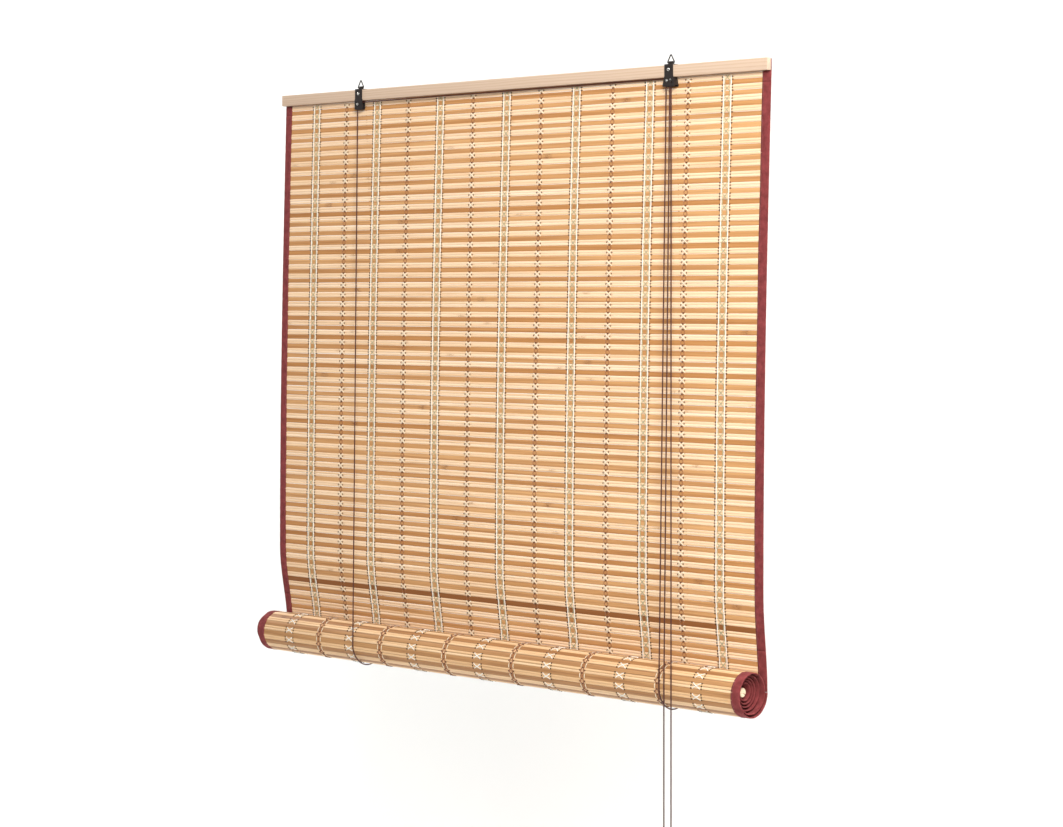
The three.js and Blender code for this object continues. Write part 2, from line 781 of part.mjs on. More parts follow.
addLiftingCord("left", leftBracketX, leftWheelX, leftAxleDrop, leftGrooveY, leftRollCordX);
addLiftingCord("right", rightBracketX, rightWheelX, rightAxleDrop, rightGrooveY, rightRollCordX);

addCord(
  "cross_cord",
  [
    v3(leftWheelX + gap, leftGrooveY, -leftAxleDrop + cordOnPulley),
    v3(rightWheelX - gap, crossGrooveY, -rightAxleDrop + cordOnPulley),
  ],
  4,
);

// A pull tail: from the lock's wheel forward to the roll's front, then plumb to its knob.
function addPullTail(side, grooveY, tailX, knobDrop) {
  const start = v3(rightWheelX + cordOnPulley, grooveY, -rightAxleDrop - caseMouth);
  const restY = rollAxisY(tailX) - slingRadius;
  addCord(`${side}_tail_upper`, [start, v3(tailX, restY, -rollDrop + gap)], 3);
  const end = v3(tailX, restY, -knobDrop - knobLength * 0.6);
  addCord(`${side}_tail_lower`, [v3(tailX, restY, -rollDrop), end], 3);
  const bore = cordRadius + gap;
  const pocket = knotRadius + 2 * gap;
  const knob = turned(
    [
      [bore, 0],
      [knobNeckRadius, 0],
      [knobNeckRadius + 0.4, -knobLength * 0.1],
      [knobNeckRadius, -knobLength * 0.22],
      [knobRadius * 0.85, -knobLength * 0.5],
      [knobRadius, -knobLength * 0.75],
      [knobRadius * 0.85, -knobLength * 0.93],
      [knobRadius * 0.55, -knobLength],
      [pocket, -knobLength],
      [pocket, -knobLength * 0.7],
      [bore, -knobLength * 0.7],
      [bore, 0],
    ].reverse(),
    18,
  );
  const upright = new THREE.Matrix4().makeRotationX(Math.PI / 2);
  const knobMesh = add(`${side}_pull_knob`, knob.applyMatrix4(upright), darkWood());
  knobMesh.position.set(tailX, restY, -knobDrop);
  const knot = new THREE.SphereGeometry(knotRadius, 10, 6);
  const knotMesh = add(`${side}_pull_knot`, knot, brownCord());
  knotMesh.position.set(tailX, restY, -knobDrop - knobLength * 0.7 - knotRadius - gap);
}

addPullTail("right", rightGrooveY, rightTailX, rightKnobDrop);
addPullTail("left", crossGrooveY, leftTailX, leftKnobDrop);

export default blind;
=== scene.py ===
import bmesh
import bpy
import numpy as np
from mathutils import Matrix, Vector


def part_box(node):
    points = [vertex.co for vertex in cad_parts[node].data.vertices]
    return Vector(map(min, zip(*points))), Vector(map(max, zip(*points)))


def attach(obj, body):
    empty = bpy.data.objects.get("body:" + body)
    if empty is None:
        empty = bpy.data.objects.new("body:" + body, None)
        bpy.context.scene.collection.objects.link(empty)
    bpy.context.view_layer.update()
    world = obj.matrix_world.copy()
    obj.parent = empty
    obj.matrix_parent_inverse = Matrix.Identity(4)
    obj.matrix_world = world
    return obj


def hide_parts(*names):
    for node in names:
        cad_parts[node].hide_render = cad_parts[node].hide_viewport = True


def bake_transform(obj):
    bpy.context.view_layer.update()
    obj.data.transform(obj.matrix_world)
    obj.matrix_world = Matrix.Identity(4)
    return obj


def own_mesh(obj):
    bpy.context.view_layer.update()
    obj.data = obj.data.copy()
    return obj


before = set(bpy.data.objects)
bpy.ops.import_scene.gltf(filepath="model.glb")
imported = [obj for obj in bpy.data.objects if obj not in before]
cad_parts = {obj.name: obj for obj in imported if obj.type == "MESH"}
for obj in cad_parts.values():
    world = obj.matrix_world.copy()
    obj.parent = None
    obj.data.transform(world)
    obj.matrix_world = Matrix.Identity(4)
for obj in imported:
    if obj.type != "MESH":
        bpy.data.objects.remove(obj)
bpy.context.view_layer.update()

# ---- Camera ----
# It stands to the right of the blind and a little over a third of the way down it, level, and looks
# across it to the left, so the right end of the roll shows.

CAMERA_PLACE = (2.5204, -2.7778, -0.3343)
CAMERA_TURN = 0.726  # radians about Z from looking along +Y
SENSOR_WIDTH = 36.0
FOCAL_LENGTH = 82.56632173095015  # millimetres
RISE = -0.1108184383819379  # shift of the frame, in widths, that keeps upright lines upright

lens = bpy.data.cameras.new("studio_camera")
lens.sensor_width = SENSOR_WIDTH
lens.lens = FOCAL_LENGTH
lens.shift_y = RISE
lens.clip_end = 60
camera = bpy.data.objects.new("studio_camera", lens)
camera.location = CAMERA_PLACE
camera.rotation_euler = (np.pi / 2, 0, CAMERA_TURN)
bpy.context.scene.collection.objects.link(camera)
bpy.context.scene.camera = camera
bpy.context.scene.view_settings.view_transform = "Standard"

# ---- Headrail ----
# A planed batten of pine, sawn to length, its long edges just eased with a block. Its growth rings
# run along it and show as arcs at the two sawn ends.

RAIL_LOW, RAIL_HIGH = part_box("headrail")
RAIL_EDGE = 0.0009


def carried(name, rows, along, around, finishes, closed=True, picks=None, extra=None):
    """Pieces made by carrying a closed or open profile along a line.

    rows is an array of pieces x stations x profile points x 3. Each quad joins two neighbouring
    points of two neighbouring stations, and the first and last profile of a closed piece are filled,
    so it is a shut body. along (stations) and around (profile steps) are metres for the UV map.
    picks gives each piece's material, and extra holds values that are the same all over a piece.
    """
    count, stations, points = rows.shape[:3]
    grid = np.arange(count * stations * points).reshape(count, stations, points)
    step = np.arange(points) if closed else np.arange(points - 1)
    after = (step + 1) % points
    quads = np.stack(
        [grid[:, :-1][:, :, step], grid[:, :-1][:, :, after],
         grid[:, 1:][:, :, after], grid[:, 1:][:, :, step]], -1)
    steps = len(step)
    quads = quads.reshape(-1, 4)
    loops = quads.ravel()
    starts = np.arange(0, 4 * len(quads), 4)
    totals = np.full(len(quads), 4)
    along = np.broadcast_to(along, (count, stations))
    around = np.broadcast_to(around, (count, points + 1 if closed else points))
    u = np.broadcast_to(along[:, :, None], (count, stations, steps))
    u = np.stack([u[:, :-1], u[:, :-1], u[:, 1:], u[:, 1:]], -1)
    low = around[:, None, :steps]
    high = around[:, None, 1:steps + 1]
    v = np.broadcast_to(np.stack([low, high, high, low], -1), u.shape)
    uv = np.stack([u.ravel(), v.ravel()], -1)
    owner = np.repeat(np.arange(count), (stations - 1) * steps)
    if closed:
        ends = np.concatenate([grid[:, 0, ::-1], grid[:, -1]], 1).reshape(-1, points)
        starts = np.concatenate([starts, len(loops) + points * np.arange(len(ends))])
        loops = np.concatenate([loops, ends.ravel()])
        totals = np.concatenate([totals, np.full(len(ends), points)])
        owner = np.concatenate([owner, np.repeat(np.arange(count), 2)])
        cap = np.stack([np.broadcast_to(along[:, :1], (count, points)), around[:, :points]], -1)
        cap_end = np.stack([np.broadcast_to(along[:, -1:], (count, points)), around[:, :points]], -1)
        caps = np.stack([cap[:, ::-1], cap_end], 1).reshape(-1, 2)
        uv = np.concatenate([uv, caps])
    mesh = bpy.data.meshes.new(name)
    mesh.vertices.add(rows[..., 0].size)
    mesh.vertices.foreach_set("co", rows.astype(np.float32).ravel())
    mesh.loops.add(len(loops))
    mesh.loops.foreach_set("vertex_index", loops.astype(np.int32))
    mesh.polygons.add(len(starts))
    mesh.polygons.foreach_set("loop_start", starts.astype(np.int32))
    mesh.polygons.foreach_set("loop_total", totals.astype(np.int32))
    mesh.polygons.foreach_set("use_smooth", np.ones(len(starts), bool))
    if picks is not None:
        mesh.polygons.foreach_set("material_index", np.asarray(picks)[owner].astype(np.int32))
    layer = mesh.uv_layers.new(name="UVMap")
    layer.data.foreach_set("uv", uv.astype(np.float32).ravel())
    for key, values in (extra or {}).items():
        held = mesh.attributes.new(key, "FLOAT", "POINT")
        held.data.foreach_set("value", np.repeat(values, stations * points).astype(np.float32))
    mesh.update(calc_edges=True)
    mesh.validate()
    for finish in finishes:
        mesh.materials.append(finish)
    made = bpy.data.objects.new(name, mesh)
    bpy.context.scene.collection.objects.link(made)
    return made


def faced_out(made, crease=0.7):
    """Turns a closed piece's faces outwards and keeps edges sharper than crease, in radians, crisp."""
    work = bmesh.new()
    work.from_mesh(made.data)
    bmesh.ops.recalc_face_normals(work, faces=work.faces)
    work.to_mesh(made.data)
    work.free()
    made.data.set_sharp_from_angle(angle=crease)
    return made


def linear(colour):
    """An sRGB hex colour as linear RGBA: each channel's share c becomes c/12.92 or a 2.4 power."""
    shares = np.array([int(colour[i:i + 2], 16) / 255 for i in (1, 3, 5)])
    bent = np.where(shares <= 0.04045, shares / 12.92, ((shares + 0.055) / 1.055) ** 2.4)
    return (*bent.tolist(), 1.0)


def add_node(tree, kind, inputs=None, **settings):
    """One shader node: settings are its own, inputs are values, hex colours or the sockets that feed them."""
    made = tree.nodes.new("ShaderNode" + kind)
    for name, value in settings.items():
        setattr(made, name, value)
    for socket, value in (inputs or {}).items():
        if isinstance(value, bpy.types.NodeSocket):
            tree.links.new(value, made.inputs[socket])
        else:
            made.inputs[socket].default_value = linear(value) if isinstance(value, str) else value
    return made


def new_material(name, roughness, metallic=0.0, **sockets):
    """A material with one Principled shader, and its node tree and shader."""
    made = bpy.data.materials.new(name)
    made.use_nodes = True
    shader = made.node_tree.nodes["Principled BSDF"]
    shader.inputs["Roughness"].default_value = roughness
    shader.inputs["Metallic"].default_value = metallic
    for socket, value in sockets.items():
        shader.inputs[socket.replace("_", " ")].default_value = value
    return made, made.node_tree, shader


# Planed pine: pale yellow-brown with darker late-wood lines 1.5 to 3 mm apart, matt, and faint fibre
# streaks that catch the light along the batten.
def planed_pine(name, early, late, pith):
    made, tree, shader = new_material(name, 0.6)
    place = add_node(tree, "TexCoord").outputs["Object"]
    slow = add_node(tree, "Mapping", {"Vector": place, "Scale": (2.2, 24, 24)}).outputs[0]
    drift = add_node(tree, "TexNoise", {"Vector": slow, "Scale": 1.0, "Detail": 2.0}).outputs["Color"]
    strayed = add_node(tree, "VectorMath", {0: drift, "Scale": 0.014}, operation="SCALE").outputs[0]
    bent = add_node(tree, "VectorMath", {0: place, 1: strayed}, operation="ADD").outputs[0]
    centred = add_node(tree, "Mapping", {"Vector": bent, "Location": pith, "Scale": (0.02, 1, 1)})
    rings = add_node(tree, "TexWave", {"Vector": centred.outputs[0], "Scale": 105.0,
                                       "Distortion": 1.2, "Detail": 2.0, "Detail Scale": 1.5},
                     wave_type="RINGS", rings_direction="X", wave_profile="SAW").outputs["Fac"]
    streaked = add_node(tree, "Mapping", {"Vector": place, "Scale": (12, 1800, 1800)}).outputs[0]
    fibre = add_node(tree, "TexNoise", {"Vector": streaked, "Scale": 1.0, "Detail": 3.0}).outputs[0]
    late_share = add_node(tree, "MapRange", {0: rings, 1: 0.45, 2: 1.0, 3: 0.0, 4: 0.5}).outputs[0]
    wood = add_node(tree, "Mix", {0: late_share, 6: early, 7: late}, data_type="RGBA").outputs[2]
    streak = add_node(tree, "MapRange", {0: fibre, 1: 0.35, 2: 0.75, 3: 0.0, 4: 0.35}).outputs[0]
    wood = add_node(tree, "Mix", {0: streak, 6: wood, 7: late}, data_type="RGBA").outputs[2]
    tree.links.new(wood, shader.inputs["Base Color"])
    bump = add_node(tree, "Bump", {"Height": fibre, "Distance": 0.00012, "Strength": 0.6}).outputs[0]
    tree.links.new(bump, shader.inputs["Normal"])
    return made


HEADRAIL_PINE = planed_pine("planed_pine_headrail", "#CEB6A0", "#B69579", (0, 0.021, 0.03))


def eased_batten(low, high, edge, stations):
    """A batten's rows: a rectangle in y and z whose corners are quarter circles, carried along x."""
    turn = np.linspace(0, np.pi / 2, 4)
    corners = []
    for quarter, (y, z) in enumerate([(high.y, high.z), (low.y, high.z), (low.y, low.z), (high.y, low.z)]):
        middle = (y - np.sign(y - (low.y + high.y) / 2) * edge,
                  z - np.sign(z - (low.z + high.z) / 2) * edge)
        angle = turn + quarter * np.pi / 2
        corners.append(np.stack([middle[0] + edge * np.cos(angle), middle[1] + edge * np.sin(angle)], -1))
    profile = np.concatenate(corners)
    x = np.concatenate([[low.x, low.x + edge / 2], np.linspace(low.x + 0.02, high.x - 0.02, stations),
                        [high.x - edge / 2, high.x]])
    shrink = np.ones(len(x))
    shrink[[0, -1]] = 1 - edge / (high.y - low.y)
    middle = np.array([(low.y + high.y) / 2, (low.z + high.z) / 2])
    yz = middle + (profile[None] - middle) * shrink[:, None, None]
    rows = np.concatenate([np.broadcast_to(x[:, None, None], yz.shape[:2] + (1,)), yz], -1)
    return rows[None], x, np.linspace(0, 2 * (high.y - low.y + high.z - low.z), len(profile) + 1)


headrail = faced_out(carried("pine_headrail", *eased_batten(RAIL_LOW, RAIL_HIGH, RAIL_EDGE, 40),
                             [HEADRAIL_PINE]))
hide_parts("headrail")
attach(headrail, "root")

# ---- Staples ----
# Bright steel wire staples shot through the sheet into the headrail's back. They stay as the CAD
# has them and take the plated finish.


# Zinc-plated steel: bright, a little clouded by handling, with fine drawn lines.
def plated_steel(name, tint, roughness):
    made, tree, shader = new_material(name, roughness, 1.0)
    place = add_node(tree, "TexCoord").outputs["Object"]
    clouds = add_node(tree, "TexNoise", {"Vector": place, "Scale": 260.0, "Detail": 4.0}).outputs[0]
    scratches = add_node(tree, "Mapping", {"Vector": place, "Scale": (9000, 600, 600)}).outputs[0]
    drawn = add_node(tree, "TexNoise", {"Vector": scratches, "Scale": 1.0, "Detail": 2.0}).outputs[0]
    share = add_node(tree, "MapRange", {0: clouds, 1: 0.35, 2: 0.7}).outputs[0]
    colour = add_node(tree, "Mix", {0: share, 6: tint, 7: "#8F8D88"}, data_type="RGBA").outputs[2]
    tree.links.new(colour,
                   shader.inputs["Base Color"])
    share = add_node(tree, "MapRange", {0: clouds, 1: 0.3, 2: 0.75, 3: roughness - 0.06,
                                        4: roughness + 0.16}).outputs[0]
    tree.links.new(share,
                   shader.inputs["Roughness"])
    bump = add_node(tree, "Bump", {"Height": drawn, "Distance": 0.00002, "Strength": 0.35}).outputs[0]
    tree.links.new(bump, shader.inputs["Normal"])
    return made


PLATED_STEEL = plated_steel("zinc_plated_steel", "#D6D5D0", 0.24)
for name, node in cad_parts.items():
    if name.startswith("staple"):
        node.data.materials.clear()
        node.data.materials.append(PLATED_STEEL)

# ---- Hanging weave ----
# One flat slat of carbonised bamboo and two thin sticks of pale split bamboo in each 15.5 mm. They
# lie level, side by side, and the warps alone hold them. The sheet leans into the room on its way
# down and curls back to the roll.

PERIOD = 0.0155
SLAT_WIDTH = 0.0076
SLAT_THICK = 0.0010
STICK_WIDTH = 0.0039
STICK_THICK = 0.0018
FIRST_SLAT = 0.0302
ROLL_DROP = 0.890
SHEET_Y = 0.00595
RAIL_HEIGHT = 0.0175
LEAN, LEAN_RIGHT, LEAN_SHARE = 0.017, 0.0025, 0.84
ROLL_Y = -0.031
ROLL_SKEW = np.radians(0.69)
ROLL_MID_RADIUS = 0.03295
SHEET_HALF = 0.4872
SHEET_TOP = 0.001
RNG = np.random.default_rng(17)


def hanging_y(x, drop):
    """The sheet's middle in y at a place across it and a drop below the headrail's top.

    Plumb behind the headrail, then out along a quarter sine wave to the lean, then back along half a
    cosine to the back of the roll.
    """
    share = np.clip((drop - RAIL_HEIGHT) / (ROLL_DROP - RAIL_HEIGHT), 0, None)
    lean = LEAN + LEAN_RIGHT * x / 0.5
    back = ROLL_Y - x * np.tan(ROLL_SKEW) + ROLL_MID_RADIUS
    out = SHEET_Y - lean * np.sin(np.pi / 2 * share / LEAN_SHARE)
    curl = (1 + np.cos(np.pi * (share - LEAN_SHARE) / (1 - LEAN_SHARE))) / 2
    return np.where(share <= LEAN_SHARE, out, back + (SHEET_Y - lean - back) * curl)


def on_hanging(x, drop, off):
    """A point off the hanging sheet's middle, towards its back when off is positive.

    The offset goes along the normal (1, slope) in y and z, where slope is how fast y grows with drop.
    """
    step = 0.0005
    slope = (hanging_y(x, drop + step) - hanging_y(x, drop - step)) / (2 * step)
    long = np.sqrt(1 + slope**2)
    return np.stack(np.broadcast_arrays(x, hanging_y(x, drop) + off / long, -drop + off * slope / long), -1)


def oval(width, thick, points, square=2.6):
    """A rounded flat section as (along the sheet, off it): a superellipse of that power."""
    turn = 2 * np.pi * (np.arange(points) + 0.5) / points
    c, s = np.cos(turn), np.sin(turn)
    return np.stack([width / 2 * np.sign(c) * np.abs(c) ** (2 / square),
                     thick / 2 * np.sign(s) * np.abs(s) ** (2 / square)], -1)


def weave(name, surface, first, last, slat_at, finishes):
    """Slats and sticks laid on a surface from one distance to another.

    A piece's rows are its section at stations along x. Each section stands at its own distance with a
    slow drift of up to 0.2 mm, flat on the surface's tangent there: middle + u x tangent + w x normal.
    """
    slats = slat_at + PERIOD * np.arange(np.ceil((first - slat_at) / PERIOD - 0.2),
                                         np.floor((last - slat_at) / PERIOD + 0.2) + 1)
    sticks = (slats[:, None] + PERIOD / 2 + np.array([-1, 1]) * (STICK_WIDTH / 2 + 0.00002)).ravel()
    sticks = np.concatenate([sticks, slats[0] - PERIOD / 2 + np.array([-1,
                                                            1]) * (STICK_WIDTH / 2 + 0.00002)])
    kinds = np.concatenate([np.zeros(len(slats), int), np.ones(len(sticks), int)])
    place = np.concatenate([slats, sticks])
    keep = (place > first + 0.0022) & (place < last - 0.0012)
    kinds, place = kinds[keep], place[keep]
    count, stations, points = len(place), 36, 10
    x = np.linspace(-SHEET_HALF, SHEET_HALF, stations)
    waves = RNG.normal(0, 1, (count, 3, 1)) * np.sin(
        2 * np.pi * (x * np.array([0.9, 1.9, 3.7])[:, None] + RNG.random((count, 3, 1))))
    drift = 0.00005 * waves.sum(1)
    sections = np.stack([oval(SLAT_WIDTH, SLAT_THICK, points, 3.4), oval(STICK_WIDTH, STICK_THICK, points,
                                                            2.5)])
    section = sections[kinds] * (1 + RNG.normal(0, 0.03, (count, 1, 2)))
    along = place[:, None] + drift
    small = 0.0004
    middle = surface(x, along, 0.0)
    ahead = surface(x, along + small, 0.0) - surface(x, along - small, 0.0)
    ahead /= np.linalg.norm(ahead, axis=-1, keepdims=True)
    normal = surface(x, along, small) - middle
    normal /= np.linalg.norm(normal, axis=-1, keepdims=True)
    rows = (middle[:, :, None] + ahead[:, :, None] * section[:, None, :, :1]
            + normal[:, :, None] * section[:, None, :, 1:])
    around = np.linspace(0, 1, points + 1) * np.where(kinds == 0, 0.0148, 0.0098)[:, None]
    extra = {"tone": RNG.random(count), "joint": RNG.uniform(-1.1, 1.1, count)}
    if name.startswith("hanging"):
        extra["tone"][np.argmin(np.abs(place - (slat_at + DARK_SLAT * PERIOD)))] = 1.6
    made = carried(name, rows, x, around, finishes, picks=kinds, extra=extra)
    return faced_out(made, 1.2)


# Split bamboo: long fibres a fraction of a millimetre wide, at most one shaved knot on a strip, where
# the fibres curl for a centimetre and darken, and a different tone on each strip. The waxy skin gives a
# soft sheen.
def split_bamboo(name, light, middle_tone, dark, knot, roughness, spread):
    made, tree, shader = new_material(name, roughness, Specular_IOR_Level=0.42)
    uv = add_node(tree, "UVMap", uv_map="UVMap").outputs[0]
    tone = add_node(tree, "Attribute", attribute_name="tone").outputs["Fac"]
    joint = add_node(tree, "Attribute", attribute_name="joint").outputs["Fac"]
    apart = add_node(tree, "Math", {0: tone, 1: 37.0}, operation="MULTIPLY").outputs[0]
    shift = add_node(tree, "CombineXYZ", {"X": apart, "Z": apart}).outputs[0]
    own = add_node(tree, "VectorMath", {0: uv, 1: shift}, operation="ADD").outputs[0]
    fine = add_node(tree, "Mapping", {"Vector": own, "Scale": (9, 2600, 1)}).outputs[0]
    fibre = add_node(tree, "TexNoise", {"Vector": fine, "Scale": 1.0, "Detail": 3.0,
                                        "Roughness": 0.6}).outputs[0]
    broad = add_node(tree, "Mapping", {"Vector": own, "Scale": (5, 420, 1)}).outputs[0]
    band = add_node(tree, "TexNoise", {"Vector": broad, "Scale": 1.0, "Detail": 2.0}).outputs[0]
    along = add_node(tree, "SeparateXYZ", {"Vector": uv}).outputs["X"]
    near = add_node(tree, "Math", {0: along, 1: joint}, operation="SUBTRACT").outputs[0]
    near = add_node(tree, "Math", {0: near}, operation="ABSOLUTE").outputs[0]
    curls = add_node(tree, "Mapping", {"Vector": own, "Scale": (260, 900, 1)}).outputs[0]
    curled = add_node(tree, "TexNoise", {"Vector": curls, "Scale": 1.0, "Detail": 3.0,
                                         "Distortion": 2.2}).outputs[0]
    close = add_node(tree, "MapRange", {0: near, 1: 0.002, 2: 0.011, 3: 1.0, 4: 0.0}).outputs[0]
    curl = add_node(tree, "MapRange", {0: curled, 1: 0.46, 2: 0.58}).outputs[0]
    ring = add_node(tree, "Math", {0: close, 1: curl}, operation="MULTIPLY").outputs[0]
    share = add_node(tree, "MapRange", {0: tone, 1: 0.5 - spread, 2: 0.5 + spread}).outputs[0]
    tint = add_node(tree, "Mix", {0: share, 6: light, 7: middle_tone}, data_type="RGBA").outputs[2]
    share = add_node(tree, "MapRange", {0: tone, 1: 1.2, 2: 1.5}).outputs[0]
    tint = add_node(tree, "Mix", {0: share, 6: tint, 7: dark}, data_type="RGBA").outputs[2]
    share = add_node(tree, "MapRange", {0: band, 1: 0.42, 2: 0.72, 3: 0.0, 4: 0.5}).outputs[0]
    tint = add_node(tree, "Mix", {0: share, 6: tint, 7: dark}, data_type="RGBA").outputs[2]
    share = add_node(tree, "MapRange", {0: fibre, 1: 0.4, 2: 0.78, 3: 0.0, 4: 0.45}).outputs[0]
    tint = add_node(tree, "Mix", {0: share, 6: tint, 7: dark}, data_type="RGBA").outputs[2]
    share = add_node(tree, "MapRange", {0: fibre, 1: 0.2, 2: 0.42, 3: 0.3, 4: 0.0}).outputs[0]
    tint = add_node(tree, "Mix", {0: share, 6: tint, 7: light}, data_type="RGBA").outputs[2]
    share = add_node(tree, "Math", {0: ring, 1: 0.75}, operation="MULTIPLY").outputs[0]
    tint = add_node(tree, "Mix", {0: share, 6: tint, 7: knot}, data_type="RGBA").outputs[2]
    tree.links.new(tint, shader.inputs["Base Color"])
    relief = add_node(tree, "Math", {0: fibre, 1: ring}, operation="ADD").outputs[0]
    bump = add_node(tree, "Bump", {"Height": relief, "Distance": 0.00014, "Strength": 0.7}).outputs[0]
    tree.links.new(bump, shader.inputs["Normal"])
    return made


SLAT_BAMBOO = split_bamboo("carbonised_bamboo_slat", "#DAA872", "#BF874F", "#8E582B", "#6C3F1F", 0.52, 0.5)
STICK_BAMBOO = split_bamboo("split_bamboo_stick", "#FDE1C0", "#F4D0A6", "#CFA376", "#A97C4C", 0.48, 0.6)
DARK_SLAT = 50
# Darker copies of the slat and stick finishes, used on the roll: painted shade for the roll, whose lower half
# lies in shade.
SLAT_ROLL_SHADED = split_bamboo("carbonised_bamboo_slat_roll_painted_shade", "#C99A68", "#A87646", "#7C4C28", "#5E3419", 0.5,
                         0.5)
STICK_ROLL_SHADED = split_bamboo("split_bamboo_stick_roll_painted_shade", "#FADAB2", "#E9C090", "#B98A5A", "#96683C", 0.48, 0.6)

TOP_SPLIT = 0.0337  # below the first slat, where the brackets' cases end
SPLIT = 0.8324  # the last 58 mm of the sheet climb with the roll


def shorten(piece):
    """Attaches the piece to the root and gives it a mesh of its own."""
    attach(piece, "root")
    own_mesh(piece)
    return piece


def still(piece):
    """The first slats are stapled to the headrail and hang behind the cases."""
    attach(piece, "root")
    return piece


def gathered(piece):
    """The long middle stretch of the sheet, attached to the root with a mesh of its own."""
    return shorten(piece)


def lifted(piece):
    """The last slats above the roll climb with it."""
    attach(piece, "lift")
    return piece


STRETCHES = (("top", SHEET_TOP, TOP_SPLIT, still), ("hanging", TOP_SPLIT, SPLIT, gathered),
             ("lower", SPLIT, ROLL_DROP, lifted))
for place, first, last, moved in STRETCHES:
    piece = moved(weave(f"{place}_weave", on_hanging, first, last, FIRST_SLAT, [SLAT_BAMBOO, STICK_BAMBOO]))
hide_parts("hanging_sheet")

# ---- Hanging warps ----
# Seven white warp bands and six brown ones between them, cotton thread about 1 mm thick. A white band
# is two straight white floats, a grey-green pair between them that rings each slat and crosses over the
# sticks, and outside them a dark binder that shows as a dot in each gap. A brown band is a chain over
# each slat with a cream cross on the sticks. The back shows white crosses and brown links.

WHITE_BANDS = -0.424 + 0.1413 * np.arange(7)
BROWN_BANDS = WHITE_BANDS[:-1] + 0.07065


def thread_path(knots, first, last, slat_at, samples=10):
    """A thread's distance, sideways place and offset, repeated over each weave period.

    knots lists (share of the period from a slat's middle, sideways, offset); between them both follow
    a periodic cubic, so the thread bends smoothly. A thread whose sideways place changes sign each
    period is given as two periods.
    """
    share, side, off = (np.array(column, float) for column in zip(*knots))
    whole = 2.0 if share.max() >= 1 else 1.0
    along = np.linspace(first, last, int(round((last - first) / PERIOD * samples)) + 1)
    phase = ((along - slat_at) / PERIOD) % whole

    def through(values):
        wide = np.concatenate([share[-2:] - whole, share, share[:3] + whole])
        held = np.concatenate([values[-2:], values, values[:3]])
        i = np.clip(np.searchsorted(wide, phase, side="right") - 1, 1, len(wide) - 3)
        t = (phase - wide[i]) / (wide[i + 1] - wide[i])
        slope = [(held[i + 1] - held[i - 1]) / (wide[i + 1] - wide[i - 1]),
                 (held[i + 2] - held[i]) / (wide[i + 2] - wide[i])]
        reach = wide[i + 1] - wide[i]
        return ((2 * t**3 - 3 * t**2 + 1) * held[i] + (t**3 - 2 * t**2 + t) * slope[0] * reach
                + (3 * t**2 - 2 * t**3) * held[i + 1] + (t**3 - t**2) * slope[1] * reach)

    return along, through(side), through(off)


def threads(name, surface, paths, half_width, half_thick, finish, sides=5):
    """Threads laid on a surface: an ellipse carried along each path, square to it.

    paths holds (along, x, off), all with as many samples. The ellipse's wide way is x and its narrow
    way is the surface normal, each turned to stay square to the run. A thread wanders a tenth of a
    millimetre.
    """
    along, x, off = (np.stack(column) for column in zip(*paths))
    stray = 0.00012 * RNG.normal(1, 0.3, (len(x), 1))
    x = x + stray * np.sin(2 * np.pi * (along / 0.043 + RNG.random((len(x), 1))))
    middle = surface(x, along, off)
    ahead = np.gradient(middle, axis=1)
    ahead /= np.linalg.norm(ahead, axis=2, keepdims=True)
    wide = np.cross(ahead, surface(x, along, off + 0.0004) - middle)
    wide /= np.linalg.norm(wide, axis=2, keepdims=True)
    normal = np.cross(wide, ahead)
    turn = 2 * np.pi * np.arange(sides) / sides
    rows = (middle[:, :, None] + half_width * np.cos(turn)[:, None] * wide[:, :, None]
            + half_thick * np.sin(turn)[:, None] * normal[:, :, None])
    steps = np.linalg.norm(np.diff(middle, axis=1), axis=2)
    long = np.concatenate([np.zeros((len(x), 1)), np.cumsum(steps, axis=1)], 1)
    around = np.linspace(0, 1, sides + 1) * np.pi * (half_width + half_thick)
    return faced_out(carried(name, rows, long, around, [finish]), 3.0)


# Spun cotton: two plies laid round each other, which shows as slanting ridges 1.2 mm apart, and a dull
# hairy surface with no gloss.
def spun_cotton(name, light, dark, roughness=0.9, sheen=0.25):
    made, tree, shader = new_material(name, roughness, Sheen_Weight=sheen, Sheen_Roughness=0.5)
    uv = add_node(tree, "UVMap", uv_map="UVMap").outputs[0]
    ply = add_node(tree, "Mapping", {"Vector": uv, "Scale": (420, 420, 1),
                                     "Rotation": (0, 0, 0.9)}).outputs[0]
    twist = add_node(tree, "TexWave", {"Vector": ply, "Scale": 1.0, "Distortion": 1.0,
                                       "Detail": 2.0}).outputs["Fac"]
    share = add_node(tree, "MapRange", {0: twist, 1: 0.1, 2: 0.8}).outputs[0]
    colour = add_node(tree, "Mix", {0: share, 6: dark, 7: light}, data_type="RGBA").outputs[2]
    tree.links.new(colour, shader.inputs["Base Color"])
    bump = add_node(tree, "Bump", {"Height": twist, "Distance": 0.0002, "Strength": 0.8}).outputs[0]
    tree.links.new(bump, shader.inputs["Normal"])
    return made


WHITE_COTTON = spun_cotton("spun_cotton_white", "#FFFCF4", "#E9E2D2")
GREY_COTTON = spun_cotton("spun_cotton_grey_green", "#C6C29C", "#8E8A64")
DARK_COTTON = spun_cotton("spun_cotton_dark_brown", "#4A2A1E", "#26130D", sheen=0.0)
# The chain dots' umber is darker than the chain's own brown. It is partly the thread's colour and partly
# painted shade where the thread dips in at the slat edges and into the groove.
UMBER_COTTON_WITH_SHADE = spun_cotton("spun_cotton_umber_and_painted_shade", "#6E4630", "#40261A", sheen=0.0)
BROWN_COTTON = spun_cotton("spun_cotton_brown", "#B4764A", "#7E4A2A")
CREAM_COTTON = spun_cotton("spun_cotton_cream", "#FFF8E6", "#E6D3B0")

